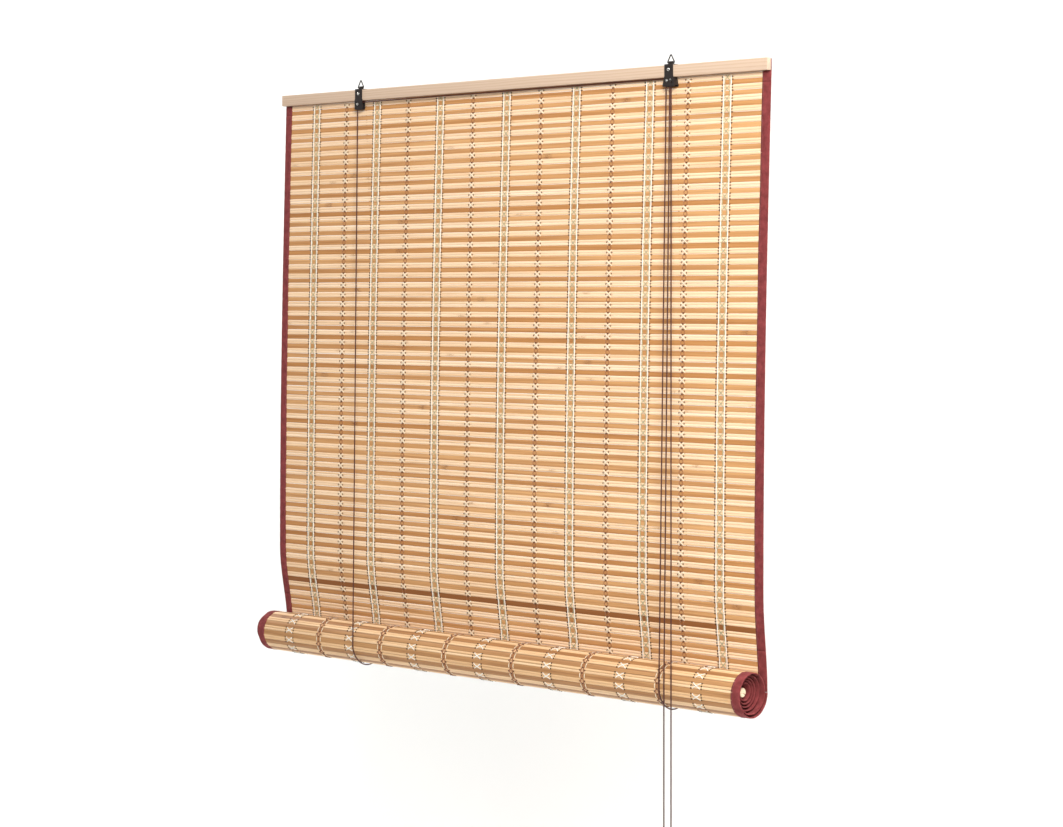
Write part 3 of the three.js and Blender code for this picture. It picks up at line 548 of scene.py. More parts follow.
MM = 0.001
STRAIGHT = [(0.0, 6.6, -1.0), (0.36, 6.6, -1.3), (0.64, 6.6, -1.3)]
CROSSED = [(0.0, 4.3, -0.8), (0.2, 4.1, -0.85), (0.34, 2.6, -1.3), (0.5, 0.0, -1.55), (0.66, -2.6, -1.3),
           (0.8, -4.1, -0.85), (1.0, -4.3, -0.8), (1.2, -4.1, -0.85), (1.34, -2.6, -1.3),
           (1.5, 0.0, -1.3), (1.66, 2.6, -1.3), (1.8, 4.1, -0.85)]
BACK_CROSS = [(0.0, 6.6, -0.6), (0.17, 6.5, -0.4), (0.26, 6.3, 0.9), (0.36, 4.4, 1.4), (0.5, 0.0, 1.6),
              (0.64, -4.4, 1.4), (0.74, -6.3, 0.9), (0.83, -6.5, -0.4), (1.0, -6.6, -0.6),
              (1.17, -6.5, -0.4), (1.26, -6.3, 0.9), (1.36, -4.4, 1.4), (1.5, 0.0, 1.35),
              (1.64, 4.4, 1.4), (1.74, 6.3, 0.9), (1.83, 6.5, -0.4)]
CHAIN = [(0.0, 3.6, -0.9), (0.12, 2.6, -0.9), (0.22, 0.5, -0.9), (0.33, 1.4, 1.1), (0.5, 2.2, 1.2),
         (0.67, 1.4, 1.1), (0.78, 0.5, -0.9), (0.88, 2.6, -0.9)]
CREAM_CROSS = [(0.0, 4.4, 0.9), (0.2, 4.4, 0.5), (0.27, 4.2, -0.95), (0.38, 2.4, -1.35),
               (0.5, 0.0, -1.55), (0.62, -2.4, -1.35), (0.73, -4.2, -0.95), (0.8, -4.4, 0.5),
               (1.0, -4.4, 0.9), (1.2, -4.4, 0.5), (1.27, -4.2, -0.95), (1.38, -2.4, -1.35),
               (1.5, 0.0, -1.3), (1.62, 2.4, -1.35), (1.73, 4.2, -0.95), (1.8, 4.4, 0.5)]
BACK_LINK = [(0.0, 0.5, 0.95), (0.2, 0.7, 0.95), (0.32, 2.6, 1.25), (0.5, 3.4, 1.3), (0.68, 2.6, 1.25),
             (0.8, 0.7, 0.95)]


def band_paths(pattern, bands, first, last, slat_at):
    """One thread each side of every band, the second the mirror of the first."""
    along, side, off = thread_path(pattern, first, last, slat_at)
    return [(along, x + sign * side * MM, off * MM) for x in bands for sign in (1, -1)]


# A binder's dots: (share of the period, sideways, how far it stands off), one for each gap it shows in.
OUTER_DOTS = [(0.25, 9.2, 1.15), (0.5, 9.2, 1.35), (0.75, 9.2, 1.15)]
INNER_DOTS = [(0.25, 0.5, 1.2), (0.5, 5.0, 1.4), (0.75, 0.5, 1.2)]
DOT_RUN = np.array([-0.0012, -0.0006, 0.0006, 0.0012])
DOT_DEEP = np.array([0.0003, 1.0, 1.0, 0.0003])


def dot_paths(dots, bands, first, last, slat_at, faces=(-1, 1)):
    """A short arch of thread for each dot, on one or both faces of the sheet and both sides of a band."""
    starts = np.arange(slat_at - PERIOD, last, PERIOD)
    paths = []
    for share, side, height in dots:
        for at in starts + share * PERIOD:
            if first < at < last:
                paths += [(at + DOT_RUN, np.full(4, x + sign * side * MM), face * height * MM * DOT_DEEP)
                          for x in bands for sign in (1, -1) for face in faces]
    return paths


def warp_set(place, surface, first, last, slat_at):
    """All the threads of one stretch of the sheet, a piece for each kind of thread."""
    span = (first, last, slat_at)
    made = [
        threads(f"{place}_white_warps", surface,
                band_paths(STRAIGHT, WHITE_BANDS, *span) + band_paths(BACK_CROSS, WHITE_BANDS, *span),
                0.0008, 0.00045, WHITE_COTTON),
        threads(f"{place}_grey_warps", surface, band_paths(CROSSED, WHITE_BANDS, *span),
                0.00055, 0.00038, GREY_COTTON),
        threads(f"{place}_binder_dots", surface,
                dot_paths(OUTER_DOTS, WHITE_BANDS, *span), 0.0009, 0.0005, DARK_COTTON),
        # The brown chains' dots: dark thread with painted shade in its colour.
        threads(f"{place}_chain_dots_and_painted_shade", surface,
                dot_paths(INNER_DOTS, BROWN_BANDS, *span), 0.0008, 0.00045, UMBER_COTTON_WITH_SHADE),
        threads(f"{place}_brown_chains", surface,
                band_paths(CHAIN, BROWN_BANDS, *span) + band_paths(BACK_LINK, BROWN_BANDS, *span),
                0.0005, 0.0004, BROWN_COTTON),
        threads(f"{place}_cream_warps", surface,
                band_paths(CREAM_CROSS, BROWN_BANDS, *span), 0.0006, 0.0004, CREAM_COTTON),
    ]
    return made


for place, first, last, moved in STRETCHES:
    span = (max(first, 0.0195), min(last, ROLL_DROP - 0.0003))
    [moved(piece) for piece in warp_set(place, on_hanging, *span, FIRST_SLAT)]

# ---- Hanging bindings ----
# A strip of burgundy cotton twill folded round each side edge and sewn through with one row of lock
# stitches. It takes up the slats and sticks beneath, so it ripples a little.

BINDING_WIDTH = 0.015
BINDING_HALF = 0.00093
CLOTH_THICK = 0.0003
STITCH_INSET = 0.0022
STITCH = 0.0032


def binding_rows(surface, side, along, slat_at):
    """A folded tape's rows: its back leaf, the fold round the edge and its front leaf.

    At each distance the profile runs straight in along the back, round a half circle at the edge and
    out along the front. Both leaves swell by up to 0.12 mm over the sticks, as a cosine of the weave
    period, and pucker between stitches.
    """
    turn = np.linspace(np.pi / 2, -np.pi / 2, 7)
    leaf = np.linspace(0, 1, 5)[:-1]
    inner = 0.5 - BINDING_WIDTH
    fold = 0.5 - BINDING_HALF
    x = np.concatenate([inner + (fold - inner) * leaf, fold + BINDING_HALF * np.cos(turn),
                        fold + (inner - fold) * (leaf + 0.25)])
    off = np.concatenate([np.full(4, BINDING_HALF), BINDING_HALF * np.sin(turn), np.full(4, -BINDING_HALF)])
    ripple = 0.00012 * np.cos(2 * np.pi * ((along - slat_at) / PERIOD - 0.5)) - 0.00006
    pucker = 0.00005 * np.cos(2 * np.pi * along / STITCH)
    nearness = np.exp(-((x - inner - STITCH_INSET) / 0.0018) ** 2)
    deep = off[None] * (1 + (ripple[:, None] + pucker[:, None] * nearness) / BINDING_HALF)
    stray = 0.00025 * np.sin(2 * np.pi * (along / 0.19 + 0.3 * side))[:, None] * (1 - leaf[0])
    wide = x[None] + stray * np.clip((fold - x) / (fold - inner), 0, 1)
    rows = surface(side * wide, along[:, None], deep)
    return rows, np.concatenate([[0], np.cumsum(np.hypot(np.diff(x), np.diff(off)))])


# Cotton twill: yarns 0.5 mm apart with the ribs of the weave running at 60 degrees, and a soft nap that
# lightens where it is seen edge on. The dye is a little uneven.
def cotton_twill(name, lit, deep):
    made, tree, shader = new_material(name, 0.88, Sheen_Weight=0.15, Sheen_Roughness=0.45,
                                      Specular_IOR_Level=0.25)
    shader.inputs["Sheen Tint"].default_value = linear("#D88A86")
    uv = add_node(tree, "UVMap", uv_map="UVMap").outputs[0]
    slanted = add_node(tree, "Mapping", {"Vector": uv, "Scale": (1, 1, 1),
                                         "Rotation": (0, 0, np.radians(60))}).outputs[0]
    ribs = add_node(tree, "TexWave", {"Vector": slanted, "Scale": 320.0, "Distortion": 0.6,
                                      "Detail": 1.0}).outputs["Fac"]
    yarns = add_node(tree, "TexWave", {"Vector": uv, "Scale": 640.0, "Distortion": 0.3},
                     bands_direction="Y").outputs["Fac"]
    cloud = add_node(tree, "TexNoise", {"Vector": uv, "Scale": 95.0, "Detail": 4.0,
                                        "Roughness": 0.6}).outputs[0]
    slub = add_node(tree, "Mapping", {"Vector": uv, "Scale": (160, 1400, 1)}).outputs[0]
    slubs = add_node(tree, "TexNoise", {"Vector": slub, "Scale": 1.0, "Detail": 2.0}).outputs[0]
    share = add_node(tree, "MapRange", {0: cloud, 1: 0.3, 2: 0.7}).outputs[0]
    cloth = add_node(tree, "Mix", {0: share, 6: deep, 7: lit}, data_type="RGBA").outputs[2]
    share = add_node(tree, "MapRange", {0: ribs, 1: 0.2, 2: 0.9, 3: 0.55, 4: 0.0}).outputs[0]
    cloth = add_node(tree, "Mix", {0: share, 6: cloth, 7: deep}, data_type="RGBA").outputs[2]
    share = add_node(tree, "MapRange", {0: slubs, 1: 0.55, 2: 0.8, 3: 0.0, 4: 0.4}).outputs[0]
    cloth = add_node(tree, "Mix", {0: share, 6: cloth, 7: "#B8605F"}, data_type="RGBA").outputs[2]
    tree.links.new(cloth, shader.inputs["Base Color"])
    relief = add_node(tree, "Math", {0: ribs, 1: yarns}, operation="ADD").outputs[0]
    bump = add_node(tree, "Bump", {"Height": relief, "Distance": 0.00016, "Strength": 0.8}).outputs[0]
    tree.links.new(bump, shader.inputs["Normal"])
    return made


BURGUNDY_TWILL = cotton_twill("burgundy_cotton_twill", "#9A4546", "#6A2829")
BURGUNDY_THREAD = spun_cotton("burgundy_sewing_thread", "#A0555A", "#5E2126")


def binding(name, surface, side, first, last, slat_at):
    """One folded binding with its cloth thickness, and the two faces of its row of stitches."""
    along = np.linspace(first, last, int((last - first) / 0.0026))
    rows, around = binding_rows(surface, side, along, slat_at)
    made = carried(name, rows[None], along, around, [BURGUNDY_TWILL], closed=False)
    made.data.polygons.foreach_set("use_smooth", np.ones(len(made.data.polygons), bool))
    wall = made.modifiers.new("cloth", "SOLIDIFY")
    wall.thickness = CLOTH_THICK
    wall.offset = 1.0 if side < 0 else -1.0
    wall.use_even_offset = True
    run = np.arange(first + 0.0004, last - 0.0004, STITCH / 8)
    dive = np.cos(2 * np.pi * run / STITCH)
    height = BINDING_HALF + 0.0001 + 0.00028 * np.clip(dive * 1.6, -1, 1)
    x = np.full(len(run), side * (0.5 - BINDING_WIDTH + STITCH_INSET))
    seam = threads(f"{name}_stitches", surface, [(run, x, -height), (run, x, height)],
                   0.00024, 0.0002, BURGUNDY_THREAD, sides=5)
    return made, seam


for place, first, last, moved in STRETCHES:
    for side, hand in ((-1, "left"), (1, "right")):
        tape, seam = binding(f"{place}_binding_cloth_{hand}", on_hanging, side, first,
                             min(last, ROLL_DROP - 0.0003), FIRST_SLAT)
        if place == "hanging":
            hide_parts(f"hanging_binding_{hand}")
        for piece in (tape, seam):
            moved(piece)

# ---- Roll ----
# The lower part of the same sheet, wound up from its bottom edge with its back face outwards. It goes
# down behind, under and up the front, and its core lies high and towards the room.

ROLL_TURNS = 5.5
CORE_RADIUS = 0.0105
CORE_SHIFT = np.array([-0.0082, 0.0037])
ROLL_START = 0.0003
ROLL_CREEP = 0.009


def spiral(turn):
    """The roll's line in its own y and z: a circle that shrinks evenly while its middle moves to the core."""
    share = turn / ROLL_TURNS
    radius = ROLL_MID_RADIUS + (CORE_RADIUS - ROLL_MID_RADIUS) * share
    angle = -2 * np.pi * turn
    return (CORE_SHIFT * share[..., None]
            + np.stack([radius * np.cos(angle), radius * np.sin(angle)], -1))


TURN_STEPS = np.linspace(0, ROLL_TURNS, 4001)
WOUND = np.concatenate([[0], np.cumsum(np.linalg.norm(np.diff(spiral(TURN_STEPS), axis=0), axis=1))])
ROLLED_LENGTH = WOUND[-1]


def on_roll(x, distance, off):
    """A point off the wound sheet's middle, outwards when off is positive.

    The spiral's point at that distance, moved along its normal, then set in the roll's place: turned
    by the skew about Z and moved to the axis. Winding at a slight slant also sets each turn further to
    the left, by a smooth step that reaches 9 mm halfway in.
    """
    x, distance, off = np.broadcast_arrays(x, distance, off)
    turn = np.interp(distance, WOUND, TURN_STEPS)
    ahead = spiral(turn + 0.002) - spiral(turn - 0.002)
    ahead /= np.linalg.norm(ahead, axis=-1, keepdims=True)
    point = spiral(turn) + off[..., None] * np.stack([-ahead[..., 1], ahead[..., 0]], -1)
    cos, sin = np.cos(ROLL_SKEW), np.sin(ROLL_SKEW)
    wound = np.clip((turn - 0.75) / 2, 0, 1)
    x = x - ROLL_CREEP * wound**2 * (3 - 2 * wound)
    return np.stack([x * cos + point[..., 0] * sin, ROLL_Y - x * sin + point[..., 0] * cos,
                     point[..., 1] - ROLL_DROP], -1)


SLATS_ABOVE = np.floor((ROLL_DROP - FIRST_SLAT) / PERIOD)
ROLL_SLAT = FIRST_SLAT + (SLATS_ABOVE + 1) * PERIOD - ROLL_DROP

# The roll takes the darker copies of the finishes: painted shade.
rolled_weave = weave("rolled_weave", on_roll, ROLL_START, ROLLED_LENGTH, ROLL_SLAT,
                     [SLAT_ROLL_SHADED, STICK_ROLL_SHADED])
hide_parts("rolled_sheet")
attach(rolled_weave, "roll")
rolled_warps = warp_set("rolled", on_roll, ROLL_START + 0.0005, ROLLED_LENGTH - 0.001, ROLL_SLAT)
for piece in rolled_warps:
    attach(piece, "roll")
for side, hand in ((-1, "left"), (1, "right")):
    tape, seam = binding(f"rolled_binding_cloth_{hand}", on_roll, side, ROLL_START, ROLLED_LENGTH,
                         ROLL_SLAT)
    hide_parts(f"rolled_binding_{hand}")
    for piece in (tape, seam):
        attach(piece, "roll")

# ---- Bottom batten ----
# A pale wood dowel with a slit sawn along it, which is pushed over the sheet's bottom edge. Its end
# shows inside the roll as a round with a dark slit.

BATTEN_RADIUS = 0.0065
SLIT_HALF = 0.0008
SLIT_DEPTH = 0.005
BATTEN_HALF = 0.499
SLIT_TURN = 2.5
BATTEN_Y = CORE_SHIFT[0] - (CORE_RADIUS - 0.00105 - 0.0006 - BATTEN_RADIUS)
BATTEN_Z = CORE_SHIFT[1]


def batten_rows():
    """The slit dowel's rows: most of a circle whose ends run in to the slit's floor, carried along x."""
    gap = np.arcsin(SLIT_HALF / BATTEN_RADIUS)
    turn = np.linspace(-np.pi + gap, np.pi - gap, 40)
    ring = BATTEN_RADIUS * np.stack([np.cos(turn), np.sin(turn)], -1)
    floor = -BATTEN_RADIUS + SLIT_DEPTH
    profile = np.concatenate([ring, [[floor, SLIT_HALF], [floor, -SLIT_HALF]]])
    cos, sin = np.cos(SLIT_TURN), np.sin(SLIT_TURN)
    profile = profile @ np.array([[cos, sin], [-sin, cos]])
    x = np.concatenate([[-BATTEN_HALF], np.linspace(-BATTEN_HALF + 0.0006, BATTEN_HALF - 0.0006, 24),
                        [BATTEN_HALF]]) - ROLL_CREEP
    size = np.ones(len(x))
    size[[0, -1]] = 0.93
    yz = profile[None] * size[:, None, None] + np.array([BATTEN_Y, BATTEN_Z])
    cos, sin = np.cos(ROLL_SKEW), np.sin(ROLL_SKEW)
    rows = np.stack(np.broadcast_arrays(x[:, None] * cos + yz[..., 0] * sin,
                                        ROLL_Y - x[:, None] * sin + yz[..., 0] * cos,
                                        yz[..., 1] - ROLL_DROP), -1)
    return rows[None], x, np.linspace(0, 0.05, len(profile) + 1)


BATTEN_WOOD = planed_pine("turned_pine_batten", "#F1DDBE", "#D2B184", (0, 0.05, 0.905))
batten = faced_out(carried("wood_bottom_batten", *batten_rows(), [BATTEN_WOOD]))
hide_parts("bottom_batten")
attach(batten, "roll")

# ---- Brackets and cases ----
# Bent steel strap with its cut edges lightly rounded by tumbling, then stove-enamelled black. The left
# one ends in a pulley case and the right one in the cord lock.


def eased_copy(name, node, width, segments=2):
    """A copy of a CAD node with its loose triangles merged and its sharp edges rounded by that width."""
    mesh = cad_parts[node].data.copy()
    mesh.name = name
    work = bmesh.new()
    work.from_mesh(mesh)
    bmesh.ops.remove_doubles(work, verts=work.verts, dist=0.000002)
    bmesh.ops.dissolve_limit(work, angle_limit=0.02, verts=work.verts, edges=work.edges)
    sharp = [e for e in work.edges if len(e.link_faces) == 2 and e.calc_face_angle(0) > 0.6]
    bmesh.ops.bevel(work, geom=sharp, offset=width, segments=segments, profile=0.6, affect="EDGES",
                    clamp_overlap=True)
    bmesh.ops.triangulate(work, faces=[f for f in work.faces if len(f.verts) > 4])
    work.to_mesh(mesh)
    work.free()
    mesh.materials.clear()
    mesh.polygons.foreach_set("use_smooth", np.ones(len(mesh.polygons), bool))
    mesh.set_sharp_from_angle(angle=0.5)
    made = bpy.data.objects.new(name, mesh)
    bpy.context.scene.collection.objects.link(made)
    return made


# Stoved black enamel over steel: deep black with a satin gloss, a fine orange peel about 0.6 mm across
# and a few grey rubs.
def black_enamel(name):
    made, tree, shader = new_material(name, 0.42, Specular_IOR_Level=0.35)
    place = add_node(tree, "TexCoord").outputs["Object"]
    peel = add_node(tree, "TexNoise", {"Vector": place, "Scale": 1500.0, "Detail": 2.0}).outputs[0]
    rubs = add_node(tree, "TexNoise", {"Vector": place, "Scale": 330.0, "Detail": 6.0,
                                       "Roughness": 0.7}).outputs[0]
    share = add_node(tree, "MapRange", {0: rubs, 1: 0.6, 2: 0.78, 3: 0.0, 4: 0.5}).outputs[0]
    colour = add_node(tree, "Mix", {0: share, 6: "#292322", 7: "#524B48"}, data_type="RGBA").outputs[2]
    tree.links.new(colour,
                   shader.inputs["Base Color"])
    share = add_node(tree, "MapRange", {0: rubs, 1: 0.35, 2: 0.7, 3: 0.28, 4: 0.5}).outputs[0]
    tree.links.new(share, shader.inputs["Roughness"])
    bump = add_node(tree, "Bump", {"Height": peel, "Distance": 0.00005, "Strength": 0.5}).outputs[0]
    tree.links.new(bump, shader.inputs["Normal"])
    return made


BLACK_ENAMEL = black_enamel("stoved_black_enamel")
for node in ("left_bracket", "left_pulley_case", "right_bracket", "lock_case"):
    case = eased_copy(f"{node}_enamelled", node, 0.00018)
    case.data.materials.append(BLACK_ENAMEL)
    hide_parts(node)
    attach(case, "root")

# ---- Screws, axles, wheels and the lock's roller ----
# Turned and headed steel, zinc plated. The screws fix the brackets, the riveted axles carry the
# grooved wheels, and the toothed roller jams the cords in its slanted slot.


def turned(node, profile, steps, slots=0):
    """A round piece about an axis along Y: a profile of (radius, y) turned in even steps.

    The points are the node's middle + radius x (cos, sin) in x and z. Radii of zero close its two ends. slots
    presses a cross into the head: points near the axis at the front sink along two bars.
    """
    low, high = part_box(node)
    middle = ((low.x + high.x) / 2, (low.z + high.z) / 2)
    radius, y = (np.array(column) for column in zip(*profile))
    angle = 2 * np.pi * np.arange(steps) / steps
    rows = np.stack([middle[0] + radius[:, None] * np.cos(angle), np.broadcast_to(y[:, None], (len(y),
                                                            steps)),
                     middle[1] + radius[:, None] * np.sin(angle)], -1)
    if slots:
        x, z = rows[..., 0] - middle[0], rows[..., 2] - middle[1]
        bar = np.minimum(np.abs(x), np.abs(z)) < 0.00042
        inside = (np.hypot(x, z) < 0.0017) & (rows[..., 1] < low.y + 0.0008)
        rows[..., 1] += np.where(bar & inside, slots, 0)
    return rows


def round_piece(name, node, body, profile, finish, steps=40, slots=0):
    rows = turned(node, profile, steps, slots)
    long = np.concatenate([[0], np.cumsum(np.linalg.norm(np.diff(rows[:, 0], axis=0), axis=1))])
    made = carried(name, rows[None], long, np.linspace(0, 0.012, steps + 1), [finish])
    faced_out(made, 0.6)
    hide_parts(node)
    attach(made, body)
    return made


def rounded_profile(points, radius, steps=3):
    """The profile with each inner corner swapped for a quadratic arc between points near it."""
    points = np.array(points, float)
    out = [points[:1]]
    t = np.linspace(0, 1, steps + 1)[:, None]
    for before, here, after in zip(points[:-2], points[1:-1], points[2:]):
        back, on = before - here, after - here
        reach = min(radius, 0.45 * np.hypot(*back), 0.45 * np.hypot(*on))
        a, b = here + back / np.hypot(*back) * reach, here + on / np.hypot(*on) * reach
        out.append((1 - t) ** 2 * a + 2 * t * (1 - t) * here + t**2 * b)
    return np.concatenate(out + [points[-1:]])


def closed_round(made, crease):
    """Shuts a piece carried once round its axis: its two filled ends go and the seam is merged."""
    work = bmesh.new()
    work.from_mesh(made.data)
    caps = [face for face in work.faces if len(face.verts) > 4]
    bmesh.ops.delete(work, geom=caps, context="FACES_ONLY")
    bmesh.ops.remove_doubles(work, verts=work.verts, dist=0.000001)
    work.to_mesh(made.data)
    work.free()
    return faced_out(made, crease)


for hand in ("left", "right"):
    low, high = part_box(f"{hand}_bracket_screw")
    head = (high.x - low.x) / 2
    screw = [(0.00001, low.y), (head * 0.35, low.y + 0.00006), (head * 0.7, low.y + 0.0003),
             (head, low.y + 0.0009), (head, low.y + 0.0013), (head * 0.5, low.y + 0.0013),
             (head * 0.5, high.y - 0.002), (0.00001, high.y)]
    round_piece(f"{hand}_bracket_screw_plated", f"{hand}_bracket_screw", "root",
                rounded_profile(screw, 0.0004), PLATED_STEEL, 48, slots=0.00035)
    low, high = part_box(f"{hand}_pulley_axle")
    head = (high.x - low.x) / 2
    axle = [(0.00001, low.y), (head * 0.5, low.y + 0.00006), (head * 0.85, low.y + 0.0003),
            (head, low.y + 0.0007), (head, low.y + 0.0009), (head * 0.5, low.y + 0.0009),
            (head * 0.5, high.y - 0.0006), (head * 0.85, high.y - 0.0006), (head * 0.85, high.y),
            (0.00001, high.y)]
    round_piece(f"{hand}_pulley_axle_plated", f"{hand}_pulley_axle", "root",
                rounded_profile(axle, 0.0003), PLATED_STEEL)
    low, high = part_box(f"{hand}_pulley")
    rim = (high.x - low.x) / 2
    grooves = 1 if hand == "left" else 2
    pitch = (high.y - low.y) / grooves
    bore = 0.0014
    wheel = [(bore, low.y), (rim, low.y)]
    for groove in range(grooves):
        middle = low.y + pitch * (groove + 0.5)
        wheel += [(rim, middle - pitch / 2 + 0.0003), (0.0022, middle - 0.00115), (0.0022,
                                                            middle + 0.00115),
                  (rim, middle + pitch / 2 - 0.0003)]
    wheel += [(rim, high.y), (bore, high.y), (bore, low.y)]
    rows = turned(f"{hand}_pulley", rounded_profile(wheel, 0.00025), 48)
    ring = rows.transpose(1, 0, 2)[None]
    ring = np.concatenate([ring, ring[:, :1]], 1)
    made = carried(f"{hand}_pulley_plated", ring, np.linspace(0, 0.027, 49),
                   np.linspace(0, 0.02, ring.shape[2] + 1), [PLATED_STEEL])
    closed_round(made, 0.6)
    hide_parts(f"{hand}_pulley")
    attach(made, f"{hand}_wheel")
roller = eased_copy("lock_roller_plated", "lock_roller", 0.00008, 1)
roller.data.materials.append(PLATED_STEEL)
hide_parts("lock_roller")
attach(roller, "roller")

# ---- Hanging rings ----
# Black wire, 1.8 mm thick, bent to a triangle whose flat side runs through the bracket's curl with
# its two ends butted there.

RING_WIRE = 0.0009
RING_HALF = 0.0069
RING_HEIGHT = 0.0126
RING_BEND = 0.0018


def ring_line(samples=9):
    """The ring's middle line in x and z: straight runs joined by quadratic bends at the three corners."""
    stops = np.array([(0.00015, 0), (RING_HALF, 0), (0, RING_HEIGHT), (-RING_HALF, 0), (-0.00015, 0)],
                     float)
    return rounded_profile(stops, RING_BEND * 1.35, samples)


for hand in ("left", "right"):
    low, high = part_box(f"{hand}_hanging_ring")
    flat = ring_line()
    line = np.stack([(low.x + high.x) / 2 + flat[:, 0], np.zeros(len(flat)), low.z + RING_WIRE + flat[:,
                                                            1]], -1)
    run = np.gradient(line, axis=0)
    run /= np.linalg.norm(run, axis=1, keepdims=True)
    side_way = np.array([0.0, 1.0, 0.0])
    out_way = np.cross(run, side_way)
    turn = 2 * np.pi * np.arange(14) / 14
    rows = (line[:, None] + RING_WIRE * (np.cos(turn)[None, :, None] * side_way
                                         + np.sin(turn)[None, :, None] * out_way[:, None]))
    long = np.concatenate([[0], np.cumsum(np.linalg.norm(np.diff(line, axis=0), axis=1))])
    ring = faced_out(carried(f"{hand}_ring_wire", rows[None], long, np.linspace(0, 0.0057, 15),
                             [BLACK_ENAMEL]), 1.2)
    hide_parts(f"{hand}_hanging_ring")
    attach(ring, f"{hand}_ring")

# ---- Lifting cords ----
# One 2 mm braided polyester cord on each side. It is knotted behind the bracket, goes down the sheet's
# back, under the roll and up its front to the wheel, and the left one then crosses to the lock. Both
# tails leave the lock and hang to the pull knobs.

CORD_RADIUS = 0.001
SLING_RADIUS = 0.0354
CORD_SIDES = 12


# Braided polyester: sixteen strands laid over and under at 45 degrees, 0.9 mm repeats, dark red-brown
# with a silky line of light on each strand.
def braided_polyester(name, lit, deep):
    made, tree, shader = new_material(name, 0.4, Specular_IOR_Level=0.35)
    uv = add_node(tree, "UVMap", uv_map="UVMap").outputs[0]
    lays = []
    for turn in (0.785, -0.785):
        way = add_node(tree, "Mapping", {"Vector": uv, "Rotation": (0, 0, turn),
                                         "Scale": (350, 350, 1)}).outputs[0]
        lays.append(add_node(tree, "TexWave", {"Vector": way, "Scale": 1.0,
                                               "Distortion": 0.15}).outputs["Fac"])
    strands = add_node(tree, "Math", {0: lays[0], 1: lays[1]}, operation="MAXIMUM").outputs[0]
    fuzz = add_node(tree, "TexNoise", {"Vector": uv, "Scale": 900.0, "Detail": 3.0}).outputs[0]
    share = add_node(tree, "MapRange", {0: strands, 1: 0.35, 2: 0.95}).outputs[0]
    cover = add_node(tree, "Mix", {0: share, 6: deep, 7: lit}, data_type="RGBA").outputs[2]
    share = add_node(tree, "MapRange", {0: fuzz, 1: 0.45, 2: 0.8, 3: 0.0, 4: 0.4}).outputs[0]
    cover = add_node(tree, "Mix", {0: share, 6: cover, 7: "#6A3C34"}, data_type="RGBA").outputs[2]
    tree.links.new(cover, shader.inputs["Base Color"])
    bump = add_node(tree, "Bump", {"Height": strands, "Distance": 0.0002, "Strength": 0.9}).outputs[0]
    tree.links.new(bump, shader.inputs["Normal"])
    return made


BROWN_BRAID = braided_polyester("braided_polyester_cord", "#552820", "#26100C")


def roll_axis_y(x):
    """The roll's axis in y at a place across it, because the roll is skewed."""
    return ROLL_Y - x * np.tan(ROLL_SKEW)


def cord_tube(name, line, nodes, step=0.004):
    """A cord's tube: a circle carried along a line of points, square to the run.

    The line is resampled to even steps. Each ring's first way is square to the run and to x,
    or to z where the run lies nearly along x.
    """
    line = np.array(line, float)
    long = np.concatenate([[0], np.cumsum(np.linalg.norm(np.diff(line, axis=0), axis=1))])
    even = np.linspace(0, long[-1], max(3, int(long[-1] / step) + 1))
    rings = np.stack([np.interp(even, long, line[:, i]) for i in range(3)], -1)
    run = np.gradient(rings, axis=0)
    run /= np.linalg.norm(run, axis=1, keepdims=True)
    first = np.cross(run, np.array([1.0, 0.0, 0.0]))
    short = np.linalg.norm(first, axis=1, keepdims=True) < 0.2
    first = np.where(short, np.cross(run, np.array([0.0, 0.0, 1.0])), first)
    first /= np.linalg.norm(first, axis=1, keepdims=True)
    second = np.cross(run, first)
    turn = 2 * np.pi * np.arange(CORD_SIDES) / CORD_SIDES
    rows = rings[:, None] + CORD_RADIUS * (np.cos(turn)[None, :, None] * first[:, None]
                                           + np.sin(turn)[None, :, None] * second[:, None])
    made = carried(name, rows[None], even, np.linspace(0, 2 * np.pi * CORD_RADIUS, CORD_SIDES + 1),
                   [BROWN_BRAID])
    faced_out(made, 1.2)
    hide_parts(*nodes)
    return made, rings.tolist(), float(long[-1])


def straight(start, end, samples=60):
    """Even points from start to end."""
    return np.linspace(start, end, samples)


WHEELS = {"left": (-0.318, -0.00245, -0.0237), "right": (0.3214, -0.00275, -0.0225)}
CROSS_GROOVE_Y = 0.00055
KNOT_X = {"left": -0.316, "right": 0.325}
ROLL_CORD_X = {"left": -0.270, "right": 0.359}
ON_WHEEL = 0.0032
CASE_MOUTH = 0.0015
BESIDE_ROLL = 0.04  # the cord this far above the roll's axis climbs with the roll


def cord_split(start, end):
    """The point of a straight run from start to end that is BESIDE_ROLL above its end."""
    start, end = np.array(start), np.array(end)
    return tuple(end + (start - end) * BESIDE_ROLL / (start[2] - end[2]))


for hand, (wheel_x, groove_y, wheel_z) in WHEELS.items():
    rest = ROLL_CORD_X[hand]
    back_end = (rest, roll_axis_y(rest) + SLING_RADIUS, -ROLL_DROP + 0.0003)
    piece, path, long = cord_tube(f"{hand}_back_cord_braid",
                                  straight((KNOT_X[hand], 0.011, -0.0104), back_end), [f"{hand}_back_cord"])
    shorten(piece)
    front_end = (rest, roll_axis_y(rest) - SLING_RADIUS, -ROLL_DROP + 0.0003)
    top = -wheel_z + CASE_MOUTH
    wheel_end = (wheel_x - ON_WHEEL, groove_y, -top)
    front_split = cord_split(wheel_end, front_end)
    piece, path, long = cord_tube(f"{hand}_front_cord_braid", straight(wheel_end, front_split),
                                  [f"{hand}_front_cord"])
    shorten(piece)
    around = -np.linspace(0, np.pi, 49)
    sling = np.stack([np.full(49, rest), roll_axis_y(rest) + SLING_RADIUS * np.cos(around),
                      -ROLL_DROP + SLING_RADIUS * np.sin(around)], -1)
    sling = np.concatenate([sling, [front_split]])
    piece, path, long = cord_tube(f"{hand}_sling_braid", sling, [f"{hand}_sling"], 0.002)
    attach(piece, "lift")

